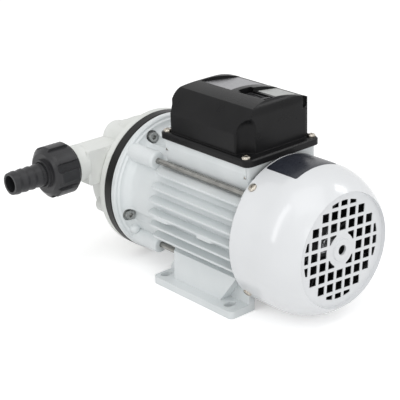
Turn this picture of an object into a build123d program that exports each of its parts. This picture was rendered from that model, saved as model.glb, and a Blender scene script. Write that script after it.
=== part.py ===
from build123d import *
import math
import os

# Diaphragm transfer pump driven by a small foot-mounted electric motor.
# Millimetres. Origin: centre of the four foot slots, on the underside of the feet.
# +Y runs along the shaft towards the fan, +X towards the outlet port, +Z up.

# Mounting frame of the motor
SHAFT_HEIGHT = 63.0
SLOT_SPACING_X = 100.0
SLOT_SPACING_Y = 80.0
SLOT_WIDTH = 7.0
SLOT_LENGTH = 11.0
FOOT_HALF_WIDTH = 60.0
FOOT_CORNER = 4.0
FOOT_INNER_X = 37.0
FOOT_THICKNESS = 6.8
FOOT_FRONT_Y = -46.0
FOOT_REAR_Y = 52.0
FOOT_WEB_WALL = 6.0
FOOT_WEB_CHAMFER = 9.0
FOOT_WEB_RUN = 12.0
BUTTRESS_FRONT_Y = -28.0
BUTTRESS_REAR_Y = 29.0
BUTTRESS_TOP_REAR_Y = 46.0
BUTTRESS_WIDTH = 10.8
BUTTRESS_DRAFT = 2.0
BUTTRESS_FRONT_RUN = 9.0

# Finned housing
HOUSING_FRONT_Y = -58.0
HOUSING_REAR_Y = 52.0
BARREL_RADIUS = 50.5
BARREL_WALL = 3.5
FIN_HEIGHT = 9.1
FIN_PITCH = 11.0
FIN_LOWEST = -2
FIN_HIGHEST = 3
FIN_ROOT_THICKNESS = 3.2
FIN_TIP_THICKNESS = 2.0
FIN_FRONT_Y = -53.0
FIN_REAR_Y = 56.0
FIN_CORNER = 7.0
FIN_PAD_LENGTH = 21.0
FIN_PAD_FRONT_Y = (-42.0, 12.0)
FIN_PAD_DEPTH = 3.4
FIN_PAD_SLANT = 6.0
BELLY_FIN_PITCH = 11.0
BELLY_FIN_HEIGHT = 6.7

# Terminal box pedestal, part of the housing
PEDESTAL_HALF_LENGTH = 50.0
PEDESTAL_RISE = 60.7
PEDESTAL_INSET = 2.0
PEDESTAL_LIP = 6.0
PEDESTAL_FOOT_HALF_X = 34.0
PEDESTAL_FOOT_RISE = 35.0
PEDESTAL_CORNER = 7.0
PEDESTAL_FLOOR = 1.0
PEDESTAL_SCREW_MARGIN = 9.0
PEDESTAL_HOLLOW_CORNER = 3.0
LEAD_HOLE_RADIUS = 7.0
LEAD_HOLE_Y = -34.0

# Stator and rotor
STATOR_LENGTH = 60.0
STATOR_BORE_RADIUS = 28.5
AIR_GAP = 0.5
STATOR_SLOTS = 24
STATOR_SLOT_WIDTH = 3.6
STATOR_SLOT_DEPTH = 9.5
WINDING_OVERHANG = 15.0
WINDING_MARGIN = 4.0
WINDING_CLEARANCE = 0.25
CORE_FIT = 0.04
END_RING_LENGTH = 6.0
END_RING_RADIUS = 23.0

# Shaft and bearings
SHAFT_RADIUS = 7.5
SHAFT_BODY_RADIUS = 9.0
SHAFT_FAN_RADIUS = 6.0
SHAFT_FRONT_Y = -83.0
SHAFT_REAR_Y = 101.0
BEARING_OUTER_RADIUS = 17.5
BEARING_WIDTH = 11.0
BEARING_RING_WALL = 3.2
BEARING_GAP = 0.05
BEARING_GROOVE = 1.0
FRONT_BEARING_Y = -62.0
REAR_BEARING_Y = 51.0
SEAT_FIT = 0.02
WAVE_WASHER_THICKNESS = 1.2

# Front flange and its bolts
FLANGE_MARGIN = 8.0
FLANGE_FACE_Y = -96.0
FLANGE_RIM_THICKNESS = 5.4
FLANGE_STEP_INSET = 4.3
FLANGE_STEP_HEIGHT = 1.4
FLANGE_COVE = 7.5
CHAMBER_RADIUS = 42.5
CHAMBER_REAR_Y = -66.0
FLANGE_SHOULDER_RADIUS = 12.0
SPIGOT_LENGTH = 5.5
TIE_OFFSET = 4.1
TIE_ANGLE = 45.0
TIE_ROD_RADIUS = 2.5
TIE_BOSS_RADIUS = 7.75
TIE_BOSS_REAR_Y = -59.0
TIE_BOSS_EDGE = 2.2
TIE_THREAD_DEPTH = 14.0
BOLT_CIRCLE_RADIUS = 52.6
BOLT_UPPER_ANGLE = 67.0
BOLT_LOWER_ANGLE = -17.0
BOLT_RADIUS = 2.5
BOLT_HEAD_RADIUS = 4.25
BOLT_HEAD_HEIGHT = 5.0
BOLT_SOCKET_RADIUS = 2.2
BOLT_SOCKET_DEPTH = 3.0
BOLT_POCKET_RADIUS = 5.6
BOLT_SEAT_Y = -91.0
BOLT_TIP_Y = -122.0
WASHER_RADIUS = 5.0
WASHER_THICKNESS = 1.0
CLEARANCE_HOLE_RADIUS = 2.75
TAPPED_FIT = 0.03
NUB_RADIUS = 4.5
NUB_HEIGHT = 3.0
NUB_ANGLE = -34.0
NUB_CIRCLE_RADIUS = 54.0

# Rear shield
SHIELD_DISC_THICKNESS = 4.0
SHIELD_HUB_RADIUS = 21.5
SHIELD_LUG_HALF_WIDTH = 9.0
SHIELD_LUG_LENGTH = 10.0
TIE_HEAD_RADIUS = 4.6
TIE_HEAD_HEIGHT = 3.5

# Fan cover and fan
COVER_MARGIN = 7.6
COVER_SHEET = 1.2
COVER_RIM_Y = 54.0
COVER_SHOULDER_Y = 82.0
COVER_SHOULDER_RADIUS = 52.0
COVER_END_Y = 118.0
COVER_BEAD_INSET = 0.3
COVER_GRILLE_Y = 114.8
COVER_ANGLE = 4.7
COVER_HUB_RADIUS = 9.5
COVER_HUB_HEIGHT = 1.1
COVER_HUB_HOLE_RADIUS = 4.2
GRILLE_PITCH = 10.0
GRILLE_HOLE = 7.2
GRILLE_MARGIN = 6.4
GRILLE_CENTRE_MARGIN = 5.8
GRILLE_HUB_RADIUS = 13.7
GRILLE_ROWS = 4
COVER_SCREW_Y = 58.5
COVER_SCREW_RADIUS = 1.9
COVER_SCREW_HEAD_RADIUS = 3.6
COVER_SCREW_HEAD_HEIGHT = 2.0
COVER_SCREW_LENGTH = 4.2
FAN_RADIUS = 50.0
FAN_BACK_Y = 70.0
FAN_BACK_THICKNESS = 2.2
FAN_BLADE_LENGTH = 24.0
FAN_BLADE_THICKNESS = 2.0
FAN_BLADES = 8
FAN_HUB_RADIUS = 12.0
FAN_HUB_LENGTH = 26.0
RING_THICKNESS = 1.0

# Wobble drive
WOBBLE_TILT = 5.0
HUB_FRONT_Y = -82.5
HUB_REAR_Y = -68.6
HUB_RADIUS = 12.5
HUB_SHOULDER_RADIUS = 14.2
HUB_SHOULDER_LENGTH = 1.6
WOBBLE_BEARING_WIDTH = 9.0
WOBBLE_BEARING_OUTER_RADIUS = 21.0
WOBBLE_RING_WALL = 2.6
PLATE_HUB_WALL = 4.0
PLATE_DISC_THICKNESS = 5.0
PLATE_DISC_REAR_Y = -84.2
PLATE_DISC_RADIUS = 27.0
SET_SCREW_RADIUS = 2.0

# Diaphragm and chambers
CHAMBERS = 4
CHAMBER_FIRST_ANGLE = 45.0
CHAMBER_CIRCLE_RADIUS = 26.0
CHAMBER_POCKET_RADIUS = 14.0
CHAMBER_DEPTH = 6.6
PAD_BOSS_RADIUS = 10.5
PISTON_DISC_RADIUS = 9.5
PISTON_DISC_THICKNESS = 1.6
PISTON_SCREW_RADIUS = 2.0
PISTON_SCREW_HEAD_RADIUS = 3.8
PISTON_SCREW_HEAD_DEPTH = 1.2
PISTON_SCREW_LENGTH = 12.0
RING_PROUD = 0.2
RING_WIDTH = 9.5
RING_WEB_THICKNESS = 3.4
RING_WEB_HOLE_RADIUS = 16.0
DIAPHRAGM_THICKNESS = 1.2
DIAPHRAGM_RADIUS = 46.5
VALVE_PLATE_THICKNESS = 10.0
GASKET_THICKNESS = 1.0
RECESS_CLEARANCE = 0.1
INLET_VALVE_RADIUS_POS = 33.3
OUTLET_VALVE_RADIUS_POS = 17.2
VALVE_DISC_RADIUS = 3.7
VALVE_DISC_THICKNESS = 0.9
VALVE_STEM_RADIUS = 1.1
VALVE_PORT_RADIUS = 0.9
VALVE_PORT_OFFSET = 2.3
VALVE_PORTS = 3

# Pump head
HEAD_PROUD = 0.1
HEAD_DISC_THICKNESS = 7.5
HEAD_BODY_RADIUS = 50.5
HEAD_FRONT_Y = -144.5
HEAD_EDGE = 8.0
INLET_PLENUM_INNER = 24.5
INLET_PLENUM_OUTER = 41.0
INLET_PLENUM_DEPTH = 16.5
OUTLET_PLENUM_RADIUS = 21.0
OUTLET_PLENUM_DEPTH = 20.0
BOLT_BOSS_RADIUS = 7.3
BOLT_BOSS_LENGTH = 15.0
PORT_Y = -128.0
PORT_RISE = 27.7
PORT_BORE_RADIUS = 7.5
PORT_BLOCK_FACE_X = 71.5
PORT_BLOCK_FRONT = 16.0
PORT_BLOCK_ABOVE = 13.3
PORT_BLOCK_BELOW = 17.7
PORT_BLOCK_EDGE = 8.0
PORT_BLOCK_CORNER = 1.5
NECK_RADIUS = 16.2
NECK_END_X = 82.0
THREAD_RADIUS = 15.2
THREAD_END_X = 96.0
DUCT_WALL = 3.0
BYPASS_ANGLE = 60.0
BYPASS_CIRCLE_RADIUS = 43.5
BYPASS_LOBE_RADIUS = 14.5
BYPASS_LOBE_FRONT_Y = -141.0
BYPASS_BORE_RADIUS = 7.0
BYPASS_SEAT_Y = -126.0
BYPASS_SEAT_HOLE_RADIUS = 3.5
BYPASS_LINK_RADIUS = 2.6
BYPASS_CAP_DEPTH = 4.0
POPPET_HEAD = 2.5
POPPET_OVERLAP = 2.0
POPPET_STEM_RADIUS = 1.6
POPPET_STEM_LENGTH = 4.0
SPRING_RADIUS = 3.4
SPRING_WIRE_RADIUS = 0.5
SPRING_PITCH = 2.8

# Hose connections
NUT_END_X = 108.0
NUT_RADIUS = 20.4
NUT_RIB_RADIUS = 22.6
NUT_RIBS = 8
NUT_RIB_WIDTH = 9.5
NUT_NOSE_RADIUS = 12.7
NUT_NOSE_END_X = 111.0
NUT_THREAD_CLEARANCE = 0.1
NUT_LIP_CLEARANCE = 0.4
TAIL_FLANGE_RADIUS = 14.6
TAIL_FLANGE_THICKNESS = 3.0
TAIL_END_X = 142.0
TAIL_BARB_ROOT = 9.4
TAIL_BARB_CREST = 10.2
TAIL_BARBS = 4
TAIL_BORE_RADIUS = 7.2
SEAL_THICKNESS = 1.6

# Terminal box
BOX_FLANGE_HALF_X = 40.7
BOX_FLANGE_HALF_Y = 53.7
BOX_FLANGE_THICKNESS = 5.8
BOX_FLANGE_CORNER = 6.0
BOX_FLANGE_EDGE = 1.2
BOX_GASKET_THICKNESS = 1.0
BOX_SETBACK_X = 4.2
BOX_SETBACK_Y = 8.2
BOX_WALL = 2.6
BOX_HEIGHT = 39.2
BOX_SPRING_DROP = 22.7
BOX_KNEE_INSET = 4.7
BOX_KNEE_DROP = 12.2
BOX_SHOULDER_INSET = 11.9
BOX_SHOULDER_DROP = 3.0
BOX_CROWN_X = 2.0
BOX_FAR_EDGE_DROP = 6.6
BOX_END_RADIUS = 10.0
BOX_SCREW_MARGIN_X = 4.5
BOX_SCREW_MARGIN_Y = 6.5
BOX_FLUTE_RADIUS = 11.5
BOX_FLUTE_DROP = 8.0
BOX_FLUTE_EDGE = 2.0
BOX_SCREW_CLEARANCE = 4.7
BOX_SCREW_RADIUS = 2.0
BOX_SCREW_HEAD_RADIUS = 3.9
BOX_SCREW_HEAD_HEIGHT = 2.6
BOX_SCREW_LENGTH = 16.0
SCREW_HEAD_CHAMFER = 1.0
BOX_SLOPE_NEAR_X = 7.5
BOX_SLOPE_NEAR_DROP = 1.3
BOX_SLOPE_FAR_DROP = 6.9
BOX_SLOPE_FRONT = (-37.0, 0.0)
BOX_SLOPE_REAR = (8.5, 39.0)
BOX_POCKET_DROP = 6.2
BOX_POCKET_MARGIN = 0.6
BOX_NOTCH_X = 8.5
BOX_NOTCH_DEPTH = 4.5
BOX_NOTCH_DROP = 14.0
BOX_NOTCH_LIP = 1.6
SWITCH_X = -2.0
SWITCH_Y = 21.0
SWITCH_LENGTH = 30.0
SWITCH_WIDTH = 13.0
SWITCH_BEZEL = 1.6
SWITCH_BODY_DEPTH = 20.0
SWITCH_WELL_DEPTH = 8.5
SWITCH_TAB_WIDTH = 4.8
SWITCH_TAB_THICKNESS = 0.8
SWITCH_TAB_LENGTH = 7.0
SWITCH_TAB_PITCH = 8.0
ROCKER_LENGTH = 24.6
ROCKER_WIDTH = 8.4
ROCKER_ANGLE = 7.0
ROCKER_GAP = 0.3
ROCKER_PIN_RADIUS = 1.2
ROCKER_PIN_DROP = 1.6
ROCKER_RISE = 2.6
ROCKER_DISH = 1.8
GLAND_Y = -20.0
GLAND_RISE = 10.8
GLAND_BORE_RADIUS = 4.5
GLAND_THREAD_RADIUS = 7.5
GLAND_THREAD_LENGTH = 6.0
GLAND_FLANGE_RADIUS = 10.6
GLAND_FLANGE_THICKNESS = 4.5
GLAND_CAP_RADIUS = 9.5
GLAND_CAP_LENGTH = 11.0
GLAND_CAP_EDGE = 3.0
GLAND_NUT_THICKNESS = 4.0
CAPACITOR_RADIUS = 12.0
CAPACITOR_LENGTH = 56.0
CAPACITOR_STAND = 2.5
CAPACITOR_SIDE_GAP = 1.7
CLIP_WALL = 1.0
CLIP_WIDTH = 8.0
CLIP_FOOT_HALF_WIDTH = 9.0
CLIP_FOOT_THICKNESS = 1.2
TERMINAL_HALF_WIDTH = 7.0
TERMINAL_LENGTH = 42.0
TERMINAL_HEIGHT = 12.0
TERMINAL_X = -15.0
TERMINAL_Y = 9.0
TERMINAL_POLES = 5
TERMINAL_PITCH = 8.4
TERMINAL_HOLE_RADIUS = 2.0
TERMINAL_HOLE_DEPTH = 6.0
EARTH_SCREW_RADIUS = 3.4
EARTH_SCREW_HEIGHT = 2.4
EARTH_SCREW_Y = -22.0

# Stations that follow from the sizes above
BARREL_BORE = BARREL_RADIUS - BARREL_WALL
FIN_TIP_RADIUS = BARREL_RADIUS + FIN_HEIGHT
BELLY_FIN_TIP_RADIUS = BARREL_RADIUS + BELLY_FIN_HEIGHT
WINDING_OUTER_RADIUS = BARREL_BORE - WINDING_MARGIN
TIE_CIRCLE_RADIUS = BARREL_RADIUS + TIE_OFFSET
COVER_RADIUS = TIE_CIRCLE_RADIUS + COVER_MARGIN
FLANGE_RADIUS = TIE_CIRCLE_RADIUS + FLANGE_MARGIN
RING_RADIUS = FLANGE_RADIUS + RING_PROUD
HEAD_DISC_RADIUS = FLANGE_RADIUS + HEAD_PROUD
PEDESTAL_TOP = SHAFT_HEIGHT + PEDESTAL_RISE
PEDESTAL_FOOT_Z = SHAFT_HEIGHT + PEDESTAL_FOOT_RISE
PEDESTAL_FLOOR_Z = SHAFT_HEIGHT + BARREL_RADIUS + PEDESTAL_FLOOR
BOX_FLANGE_BOTTOM = PEDESTAL_TOP + BOX_GASKET_THICKNESS
BOX_FLANGE_TOP = BOX_FLANGE_BOTTOM + BOX_FLANGE_THICKNESS
BOX_CROWN_Z = BOX_FLANGE_TOP + BOX_HEIGHT
BOX_HALF_X = BOX_FLANGE_HALF_X - BOX_SETBACK_X
BOX_HALF_Y = BOX_FLANGE_HALF_Y - BOX_SETBACK_Y
BOX_SCREW_X = BOX_FLANGE_HALF_X - BOX_SCREW_MARGIN_X
BOX_SCREW_Y = BOX_FLANGE_HALF_Y - BOX_SCREW_MARGIN_Y
BOX_POCKET_FLOOR_Z = BOX_CROWN_Z - BOX_POCKET_DROP
GLAND_Z = BOX_FLANGE_TOP + GLAND_RISE
CAPACITOR_X = BOX_SCREW_X - PEDESTAL_SCREW_MARGIN - CAPACITOR_RADIUS - CAPACITOR_SIDE_GAP
CAPACITOR_Z = PEDESTAL_FLOOR_Z + CAPACITOR_STAND + CAPACITOR_RADIUS
SPIGOT_RADIUS = BARREL_BORE - SEAT_FIT
RING_FRONT_Y = FLANGE_FACE_Y - RING_WIDTH
DIAPHRAGM_REAR_Y = RING_FRONT_Y + DIAPHRAGM_THICKNESS
NUTATION_Y = RING_FRONT_Y + DIAPHRAGM_THICKNESS / 2
VALVE_PLATE_FRONT_Y = RING_FRONT_Y - VALVE_PLATE_THICKNESS
GASKET_FRONT_Y = VALVE_PLATE_FRONT_Y - GASKET_THICKNESS
CHAMBER_FLOOR_Y = RING_FRONT_Y - CHAMBER_DEPTH
HEAD_DISC_FRONT_Y = RING_FRONT_Y - HEAD_DISC_THICKNESS
ROTOR_RADIUS = STATOR_BORE_RADIUS - AIR_GAP
PORT_Z = SHAFT_HEIGHT + PORT_RISE
SHAFT_AXIS = Axis((0, 0, SHAFT_HEIGHT), (0, 1, 0))
WOBBLE_AXIS = Axis((0, NUTATION_Y, SHAFT_HEIGHT), (1, 0, 0))
CHAMBER_ANGLES = [CHAMBER_FIRST_ANGLE + i * 360 / CHAMBERS for i in range(CHAMBERS)]
TIE_ANGLES = [TIE_ANGLE, 180 - TIE_ANGLE, 180 + TIE_ANGLE, -TIE_ANGLE]
BOLT_ANGLES = [BOLT_UPPER_ANGLE, 180 + BOLT_LOWER_ANGLE, 180 + BOLT_UPPER_ANGLE, BOLT_LOWER_ANGLE]
COVER_SCREW_ANGLES = [TIE_ANGLE + COVER_ANGLE + 90 * i for i in range(4)]


def polar(radius, angle):
    """Offset from the shaft axis, angle in degrees from +X towards +Z."""
    turn = math.radians(angle)
    return radius * math.cos(turn), radius * math.sin(turn)


def along_y(radius, y0, y1, x=0.0, z=0.0):
    """Cylinder parallel to the shaft; x and z are offsets from the shaft axis."""
    middle = Pos(x, (y0 + y1) / 2, SHAFT_HEIGHT + z)
    return middle * Rot(90, 0, 0) * Cylinder(radius, abs(y1 - y0))


def along_x(radius, x0, x1, y, z):
    """Cylinder parallel to X."""
    return Pos((x0 + x1) / 2, y, z) * Rot(0, 90, 0) * Cylinder(radius, abs(x1 - x0))


def along_z(radius, z0, z1, x, y):
    """Cylinder parallel to Z."""
    return Pos(x, y, (z0 + z1) / 2) * Cylinder(radius, abs(z1 - z0))


def block(x0, x1, y0, y1, z0, z1):
    """Box between two corners."""
    centre = Pos((x0 + x1) / 2, (y0 + y1) / 2, (z0 + z1) / 2)
    return centre * Box(abs(x1 - x0), abs(y1 - y0), abs(z1 - z0))


def turned(points):
    """Solid of revolution about the shaft; points are (radius, y)."""
    outline = Polyline([(r, y, SHAFT_HEIGHT) for r, y in points], close=True)
    return revolve(make_face(outline), SHAFT_AXIS, 360)


def prism_y(points, y0, y1):
    """Outline of (x, z) points carried from y0 to y1."""
    outline = Polyline([(x, y0, z) for x, z in points], close=True)
    return extrude(make_face(outline), amount=y1 - y0, dir=(0, 1, 0))


def prism_x(points, x0, x1):
    """Outline of (y, z) points carried from x0 to x1."""
    outline = Polyline([(x0, y, z) for y, z in points], close=True)
    return extrude(make_face(outline), amount=x1 - x0, dir=(1, 0, 0))


def rounded_slab(half_x, half_y, corner, z0, z1):
    """Plate with rounded upright corners, centred on the origin in plan."""
    face = Pos(0, 0, z0) * RectangleRounded(2 * half_x, 2 * half_y, corner)
    return extrude(face, amount=z1 - z0, dir=(0, 0, 1))


def mirror_x(shape):
    """Copy on the other side of the shaft's upright plane."""
    return mirror(shape, about=Plane.YZ)


def spin(shape, angle):
    """Turn about the shaft, from +X towards +Z."""
    return shape.rotate(SHAFT_AXIS, -angle)


def tilt(shape):
    """Lean a shape built square to the shaft into the wobble drive's axis."""
    return shape.rotate(WOBBLE_AXIS, WOBBLE_TILT)


# Housing

def side_fins():
    fins = None
    for level in range(FIN_LOWEST, FIN_HIGHEST + 1):
        rise = level * FIN_PITCH
        root_x = math.sqrt((BARREL_RADIUS - BARREL_WALL / 2) ** 2 - rise ** 2)
        tip_x = math.sqrt(FIN_TIP_RADIUS ** 2 - rise ** 2)
        z = SHAFT_HEIGHT + rise
        section = [
            (root_x, z - FIN_ROOT_THICKNESS / 2),
            (tip_x, z - FIN_TIP_THICKNESS / 2),
            (tip_x, z + FIN_TIP_THICKNESS / 2),
            (root_x, z + FIN_ROOT_THICKNESS / 2),
        ]
        fin = prism_y(section, FIN_FRONT_Y, FIN_REAR_Y)
        corner = Pos(tip_x - FIN_CORNER, FIN_FRONT_Y + FIN_CORNER, z)
        square = block(tip_x - FIN_CORNER, tip_x + 1, FIN_FRONT_Y - 1, FIN_FRONT_Y + FIN_CORNER, z - 5, z + 5)
        fin = fin - (square - corner * Cylinder(FIN_CORNER, 12))
        fins = fin if fins is None else fins + fin
    for front in FIN_PAD_FRONT_Y:
        fins = fins + fin_pad(front)
    return fins


def fin_pad(front):
    """Cast flat under the fin at shaft height, its rear end cut on a slant."""
    inner = BARREL_RADIUS - BARREL_WALL / 2
    low = SHAFT_HEIGHT - FIN_PAD_DEPTH
    pad = block(inner, FIN_TIP_RADIUS, front, front + FIN_PAD_LENGTH, low, SHAFT_HEIGHT)
    rear = front + FIN_PAD_LENGTH
    slant = [
        (FIN_TIP_RADIUS + 1, rear - FIN_PAD_SLANT),
        (FIN_TIP_RADIUS + 1, rear + 1),
        (FIN_TIP_RADIUS - FIN_PAD_SLANT, rear + 1),
    ]
    outline = Polyline([(x, y, low - 1) for x, y in slant], close=True)
    return pad - extrude(make_face(outline), amount=FIN_PAD_DEPTH, dir=(0, 0, 1))


def belly_fins():
    fins = None
    for step in (-2, -1, 0, 1, 2):
        x = step * BELLY_FIN_PITCH
        top = SHAFT_HEIGHT - math.sqrt((BARREL_RADIUS - BARREL_WALL / 2) ** 2 - x ** 2)
        low = SHAFT_HEIGHT - math.sqrt(BELLY_FIN_TIP_RADIUS ** 2 - x ** 2)
        section = [
            (x - FIN_ROOT_THICKNESS / 2, top),
            (x - FIN_TIP_THICKNESS / 2, low),
            (x + FIN_TIP_THICKNESS / 2, low),
            (x + FIN_ROOT_THICKNESS / 2, top),
        ]
        fin = prism_y(section, FIN_FRONT_Y + 2, FIN_REAR_Y - 6)
        fins = fin if fins is None else fins + fin
    return fins


def foot_web_top():
    """Height at which the web's inner face runs into the barrel."""
    inside = BARREL_RADIUS - BARREL_WALL / 2
    return SHAFT_HEIGHT - math.sqrt(inside ** 2 - FOOT_INNER_X ** 2)


def buttress(web_x, top):
    """Massive block between web and foot plate, cut back at its rear for the bolt in the slot."""
    foot_x = web_x + BUTTRESS_WIDTH
    section = [(web_x - 1, 0), (foot_x, 0), (foot_x, FOOT_THICKNESS), (foot_x - BUTTRESS_DRAFT, top), (web_x - 1, top)]
    body = prism_y(section, BUTTRESS_FRONT_Y - BUTTRESS_FRONT_RUN, BUTTRESS_TOP_REAR_Y)
    front = [
        (foot_x + 1, BUTTRESS_FRONT_Y), (web_x, BUTTRESS_FRONT_Y - BUTTRESS_FRONT_RUN),
        (web_x, BUTTRESS_FRONT_Y - BUTTRESS_FRONT_RUN - 1), (foot_x + 1, BUTTRESS_FRONT_Y - BUTTRESS_FRONT_RUN - 1),
    ]
    outline = Polyline([(x, y, -1) for x, y in front], close=True)
    body = body - extrude(make_face(outline), amount=top + 2, dir=(0, 0, 1))
    rear = [
        (BUTTRESS_REAR_Y, FOOT_THICKNESS), (BUTTRESS_TOP_REAR_Y + 1, top),
        (BUTTRESS_TOP_REAR_Y + 1, FOOT_THICKNESS),
    ]
    return body - prism_x(rear, web_x, foot_x + 1)


def foot():
    plate = block(FOOT_INNER_X, FOOT_HALF_WIDTH, FOOT_FRONT_Y, FOOT_REAR_Y, 0, FOOT_THICKNESS)
    plate = fillet(plate.edges().filter_by(Axis.Z).group_by(Axis.X)[-1], FOOT_CORNER)
    web_x0 = FOOT_INNER_X - FOOT_WEB_WALL / 2
    web_x1 = web_x0 + FOOT_WEB_WALL
    top = foot_web_top()
    outline = [
        (FOOT_FRONT_Y, 0),
        (FOOT_REAR_Y, 0),
        (FOOT_REAR_Y, top - FOOT_WEB_CHAMFER),
        (FOOT_REAR_Y - FOOT_WEB_CHAMFER, top),
        (FOOT_FRONT_Y + FOOT_WEB_RUN, top),
        (FOOT_FRONT_Y + FOOT_WEB_RUN / 4, FOOT_THICKNESS * 2),
        (FOOT_FRONT_Y, FOOT_THICKNESS * 1.3),
    ]
    rail = plate + prism_x(outline, web_x0, web_x1) + buttress(web_x1, top)
    for side in (-1, 1):
        slot_face = Pos(SLOT_SPACING_X / 2, side * SLOT_SPACING_Y / 2, -1) * SlotOverall(SLOT_LENGTH, SLOT_WIDTH)
        rail = rail - extrude(slot_face, amount=FOOT_THICKNESS + 2, dir=(0, 0, 1))
    return rail


def pedestal():
    half = BOX_FLANGE_HALF_X - PEDESTAL_INSET
    section = [
        (-PEDESTAL_FOOT_HALF_X, PEDESTAL_FOOT_Z),
        (PEDESTAL_FOOT_HALF_X, PEDESTAL_FOOT_Z),
        (half, PEDESTAL_TOP - PEDESTAL_LIP),
        (half, PEDESTAL_TOP),
        (-half, PEDESTAL_TOP),
        (-half, PEDESTAL_TOP - PEDESTAL_LIP),
    ]
    body = prism_y(section, -PEDESTAL_HALF_LENGTH, PEDESTAL_HALF_LENGTH)
    plan = rounded_slab(
        BOX_FLANGE_HALF_X, PEDESTAL_HALF_LENGTH, PEDESTAL_CORNER, PEDESTAL_FOOT_Z - 10, PEDESTAL_TOP
    )
    return body & plan


def pedestal_hollow(low, high):
    return rounded_slab(
        BOX_SCREW_X - PEDESTAL_SCREW_MARGIN, BOX_SCREW_Y - PEDESTAL_SCREW_MARGIN, PEDESTAL_HOLLOW_CORNER, low, high
    )


def shield_lugs(clearance=0.0):
    """Four lugs of the rear shield, which carry the tie bolts and the cover screws."""
    lug_top = COVER_RADIUS - COVER_SHEET - 0.05
    front = HOUSING_REAR_Y - clearance
    rear = HOUSING_REAR_Y + SHIELD_LUG_LENGTH
    half = SHIELD_LUG_HALF_WIDTH + clearance
    ring = along_y(lug_top, front, rear) - along_y(BARREL_RADIUS - 3, front - 1, rear + 1)
    bar = block(
        BARREL_RADIUS - 8, COVER_RADIUS + 2, front - 1, rear + 1, SHAFT_HEIGHT - half, SHAFT_HEIGHT + half
    )
    return [ring & spin(bar, angle + COVER_ANGLE / 2) for angle in TIE_ANGLES]


def stator_housing():
    barrel = along_y(BARREL_RADIUS, HOUSING_FRONT_Y, HOUSING_REAR_Y)
    body = barrel + pedestal() + belly_fins()
    fins = side_fins()
    rail = foot()
    body = body + fins + mirror_x(fins) + rail + mirror_x(rail)
    for lug in shield_lugs(0.4):
        body = body - lug
    body = body - along_y(BARREL_RADIUS + 0.4, HOUSING_REAR_Y, FIN_REAR_Y + 1)
    body = body - pedestal_hollow(PEDESTAL_FLOOR_Z, PEDESTAL_TOP + 1)
    body = body - along_y(BARREL_BORE, HOUSING_FRONT_Y - 20, HOUSING_REAR_Y + 20)
    for angle in TIE_ANGLES:
        x, z = polar(TIE_CIRCLE_RADIUS, angle)
        body = body - along_y(TIE_ROD_RADIUS + 1.0, HOUSING_FRONT_Y - 20, FIN_REAR_Y + 5, x, z)
    body = body - along_z(LEAD_HOLE_RADIUS, SHAFT_HEIGHT, PEDESTAL_TOP, 0, LEAD_HOLE_Y)
    depth = BOX_SCREW_LENGTH - (BOX_FLANGE_TOP - PEDESTAL_TOP) + 1
    for sx in (-1, 1):
        for sy in (-1, 1):
            body = body - along_z(
                BOX_SCREW_RADIUS + TAPPED_FIT, PEDESTAL_TOP - depth, PEDESTAL_TOP + 1,
                sx * BOX_SCREW_X, sy * BOX_SCREW_Y,
            )
    return body


def stator_core():
    outer = BARREL_BORE - CORE_FIT
    half = STATOR_LENGTH / 2
    core = along_y(outer, -half, half) - along_y(STATOR_BORE_RADIUS, -half - 1, half + 1)
    slot = block(
        STATOR_BORE_RADIUS - 1, STATOR_BORE_RADIUS + STATOR_SLOT_DEPTH, -half - 1, half + 1,
        SHAFT_HEIGHT - STATOR_SLOT_WIDTH / 2, SHAFT_HEIGHT + STATOR_SLOT_WIDTH / 2,
    )
    slots = [spin(slot, i * 360 / STATOR_SLOTS) for i in range(STATOR_SLOTS)]
    return core - slots


def stator_windings():
    half = STATOR_LENGTH / 2
    inner = STATOR_BORE_RADIUS + 1.5
    side = STATOR_SLOT_WIDTH / 2 - WINDING_CLEARANCE
    top = STATOR_BORE_RADIUS + STATOR_SLOT_DEPTH - WINDING_CLEARANCE
    bar_bottom = inner + 2 * WINDING_CLEARANCE
    bar = block(bar_bottom, top, -half - 1, half + 1, SHAFT_HEIGHT - side, SHAFT_HEIGHT + side)
    end = half + WINDING_OVERHANG
    start = half + WINDING_CLEARANCE
    bundle = [
        (inner, start), (WINDING_OUTER_RADIUS - 3, start), (WINDING_OUTER_RADIUS, start + 3),
        (WINDING_OUTER_RADIUS, end - 3), (WINDING_OUTER_RADIUS - 3, end), (inner + 3, end), (inner, end - 3),
    ]
    coil = turned(bundle) + turned([(r, -y) for r, y in bundle])
    for i in range(STATOR_SLOTS):
        coil = coil + spin(bar, i * 360 / STATOR_SLOTS)
    return coil


# Front flange, rear shield and tie bolts

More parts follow.
